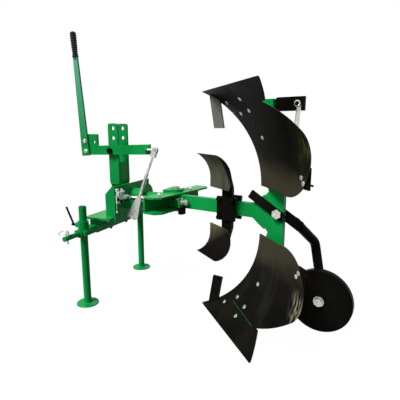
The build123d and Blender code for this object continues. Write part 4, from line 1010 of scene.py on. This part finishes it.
screw = [turned(profile, at_beam(0, SCREW_Y, SCREW_Z), beam_rear) for profile in SCREW_PROFILES]
fitting("setting_screw", screw, "turnover", "zinc_plate")
fitting("screw_plate", [slab(at_beam, *SCREW_PLATE)], "turnover", "green_paint")
fitting("root_stop", [slab(at_beam, *plate) for plate in STOP_PLATES], "turnover", "black_paint")

# %% Eyes of the stays
LANDSIDE_FACE = -17.5
STAY_X = 572.0
STAY_H = 412.5
EYE_RADIUS = 12.5
EYE_THICK = 9.0
EYE_CHAMFER = 2.0
EYE_THREAD = 7.0
eye = pin(EYE_RADIUS, 0, EYE_THICK, EYE_CHAMFER)
eyes, eye_bolts = [], []
for end, way in ENDS:
    eyes.append(turned(eye, at_beam(STAY_X, LANDSIDE_FACE, way * STAY_H), -beam_right))
    eye_bolts.append((at_beam(STAY_X, LANDSIDE_FACE - EYE_THICK, way * STAY_H), -beam_right, EYE_THREAD))
fitting("stay_eyes", eyes, "turnover", "zinc_plate")
grow("stay_eye_bolts", BOLTS, places(eye_bolts), "turnover", "black_paint")

# %% Lugs at the tails
LUG_X = 662.0
LUG_H = 166.0
LUG_HALF = 36.0
LUG_THICK = 8.0
LUG_SHORT = 10.0
LUG_ROUND = 1.5
LUG_STUD = pin(3.5, -3, 17)


def measured_from(origin, along, back):
    """A landmark of its own: millimetres along, behind and above a point."""
    return lambda x, y, z: origin + (along * x + back * y + UP * z) * MM


lugs = []
for end, way in ENDS:
    foot, back = beside(f"moldboard_{end}", LUG_X, way * LUG_H, 1)
    back = Vector((back.x, back.y, 0)).normalized()
    along = UP.cross(back) if UP.cross(back).dot(beam_rear) > 0 else back.cross(UP)
    length = (reach(f"moldboard_{end}")[1] - LUG_X) / along.dot(beam_rear) - LUG_SHORT
    on_tail = measured_from(foot, along, back)
    lugs.append(slab(on_tail, (0, 0, -LUG_HALF), (length, LUG_THICK, LUG_HALF), LUG_ROUND))
    lugs.append(turned(LUG_STUD, on_tail(length, LUG_THICK / 2, -way * LUG_HALF / 2), along))
fitting("tail_lugs", lugs, "turnover", "black_paint")

# %% The seam of the lower share
SEAM_START = Vector((345, -401))
SEAM_END = Vector((495, -413))
SEAM_STEPS = 20
SEAM_THICK = 0.9
spots = [SEAM_START.lerp(SEAM_END, i / SEAM_STEPS) for i in range(SEAM_STEPS + 1)]
share_seam = [beside("share_lower", x, h, -1)[0] for x, h in spots]
grow("share_seam", WIRES, lines([(share_seam, SEAM_THICK)]), "turnover", "green_paint")

# %% [markdown]
# ## Stage
#
# The picture has a white studio floor that runs into a white background. More light would bleach the
# plough, so the floor and the world are white only to the camera and in reflections, while the light on
# the plough itself stays at a plain level and the floor keeps its shadow.

# %% Floor
FLOOR_HALF = 15.0
FLOOR_GLOW = 0.9
FLOOR_WHITE = 1.1


def seen_directly(tree):
    """1 where a surface is looked at, straight, in a reflection or through glass, and 0 where it lights."""
    path = add(tree, "ShaderNodeLightPath")
    seen = path.outputs["Is Camera Ray"]
    for ray in ("Is Glossy Ray", "Is Transmission Ray"):
        seen = add(tree, "ShaderNodeMath", {0: seen, 1: path.outputs[ray]}, operation="MAXIMUM").outputs[0]
    return seen


def studio_floor():
    material = bpy.data.materials.new("studio_floor")
    material.use_nodes = True
    tree = material.node_tree
    tree.nodes.clear()
    amount = add(tree, "ShaderNodeMath", {0: seen_directly(tree), 1: FLOOR_GLOW}, operation="MULTIPLY")
    matte = add(tree, "ShaderNodeBsdfDiffuse", {"Color": linear("#62615f")})
    glow = add(tree, "ShaderNodeEmission", {"Color": (1, 1, 1, 1), "Strength": FLOOR_WHITE})
    mixed = add(tree, "ShaderNodeMixShader", {0: amount.outputs[0], 1: matte.outputs[0],
                                              2: glow.outputs[0]})
    add(tree, "ShaderNodeOutputMaterial", {"Surface": mixed.outputs[0]})
    return material


floor_mesh = bpy.data.meshes.new("floor")
floor_corners = [(x * FLOOR_HALF, y * FLOOR_HALF, cad_low[2])
                 for x, y in ((-1, -1), (1, -1), (1, 1), (-1, 1))]
floor_mesh.from_pydata(floor_corners, [], [(0, 1, 2, 3)])
floor_mesh.materials.append(studio_floor())
floor = bpy.data.objects.new("floor", floor_mesh)
bpy.context.collection.objects.link(floor)
floor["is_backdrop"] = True
print("floor at", cad_low[2])

# %% [markdown]
# ## Light
#
# The soft light comes from one side, as from a large window: the world is stronger from the front left and
# above than from behind on the right, so that plates turned away are darker. Lamps around the plough would
# light those too. One soft sun from the same side gives the edges and the shadow.

# %% World and lamp
FILL_FROM = Vector((-0.75, -0.55, 0.5)).normalized()
FILL_EDGE = -0.2
FILL_WEAK = 0.13
FILL_STRONG = 0.56
KEY_FROM = Vector((-0.35, -0.75, 1.1))
KEY_POWER = 3.6
KEY_SOFTNESS = 20.0


def studio_world():
    world = bpy.data.worlds.new("studio")
    world.use_nodes = True
    tree = world.node_tree
    tree.nodes.clear()
    direction = add(tree, "ShaderNodeTexCoord").outputs["Generated"]
    toward = add(tree, "ShaderNodeVectorMath", {0: direction, 1: tuple(FILL_FROM)}, operation="DOT_PRODUCT")
    fill = add(tree, "ShaderNodeMapRange", {"Value": toward.outputs["Value"], "From Min": FILL_EDGE,
                                            "From Max": 1.0, "To Min": FILL_WEAK, "To Max": FILL_STRONG})
    strength = add(tree, "ShaderNodeMapRange", {"Value": seen_directly(tree), "To Min": fill.outputs[0],
                                                "To Max": 1.0})
    glow = add(tree, "ShaderNodeBackground", {"Color": (1, 1, 1, 1), "Strength": strength.outputs["Result"]})
    add(tree, "ShaderNodeOutputWorld", {"Surface": glow.outputs[0]})
    return world


bpy.context.scene.world = studio_world()
key_data = bpy.data.lights.new("key", "SUN")
key_data.energy = KEY_POWER
key_data.angle = math.radians(KEY_SOFTNESS)
key = bpy.data.objects.new("key", key_data)
key.rotation_euler = KEY_FROM.to_track_quat("Z", "Y").to_euler()
bpy.context.collection.objects.link(key)
print("key lamp", key_data.energy, "fill", FILL_WEAK, "to", FILL_STRONG)

# %% [markdown]
# ## Camera
#
# The view was worked out from the hitch pins, legs, mast and the mirrored bodies: a camera 0.8 m above the
# floor, to the left of the plough, looking a little down.

# %% Camera
CAMERA_PLACE = (1071.2, -1551.5, 793.1)
CAMERA_PITCH = 10.7
CAMERA_TURN = 21.3
PICTURE_SIZE = 400
FOCAL_PIXELS = 368.1
SENSOR_WIDTH = 36.0
camera_data = bpy.data.cameras.new("camera")
camera_data.sensor_width = SENSOR_WIDTH
camera_data.lens = SENSOR_WIDTH * FOCAL_PIXELS / PICTURE_SIZE
camera = bpy.data.objects.new("camera", camera_data)
camera.location = at_hitch(*CAMERA_PLACE)
camera.rotation_euler = (math.radians(90 - CAMERA_PITCH), 0, math.radians(CAMERA_TURN))
bpy.context.collection.objects.link(camera)
bpy.context.scene.camera = camera
bpy.context.scene.view_settings.view_transform = "Standard"
print("camera at", camera.location, "lens", camera_data.lens)

# %% Sizes
low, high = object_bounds()
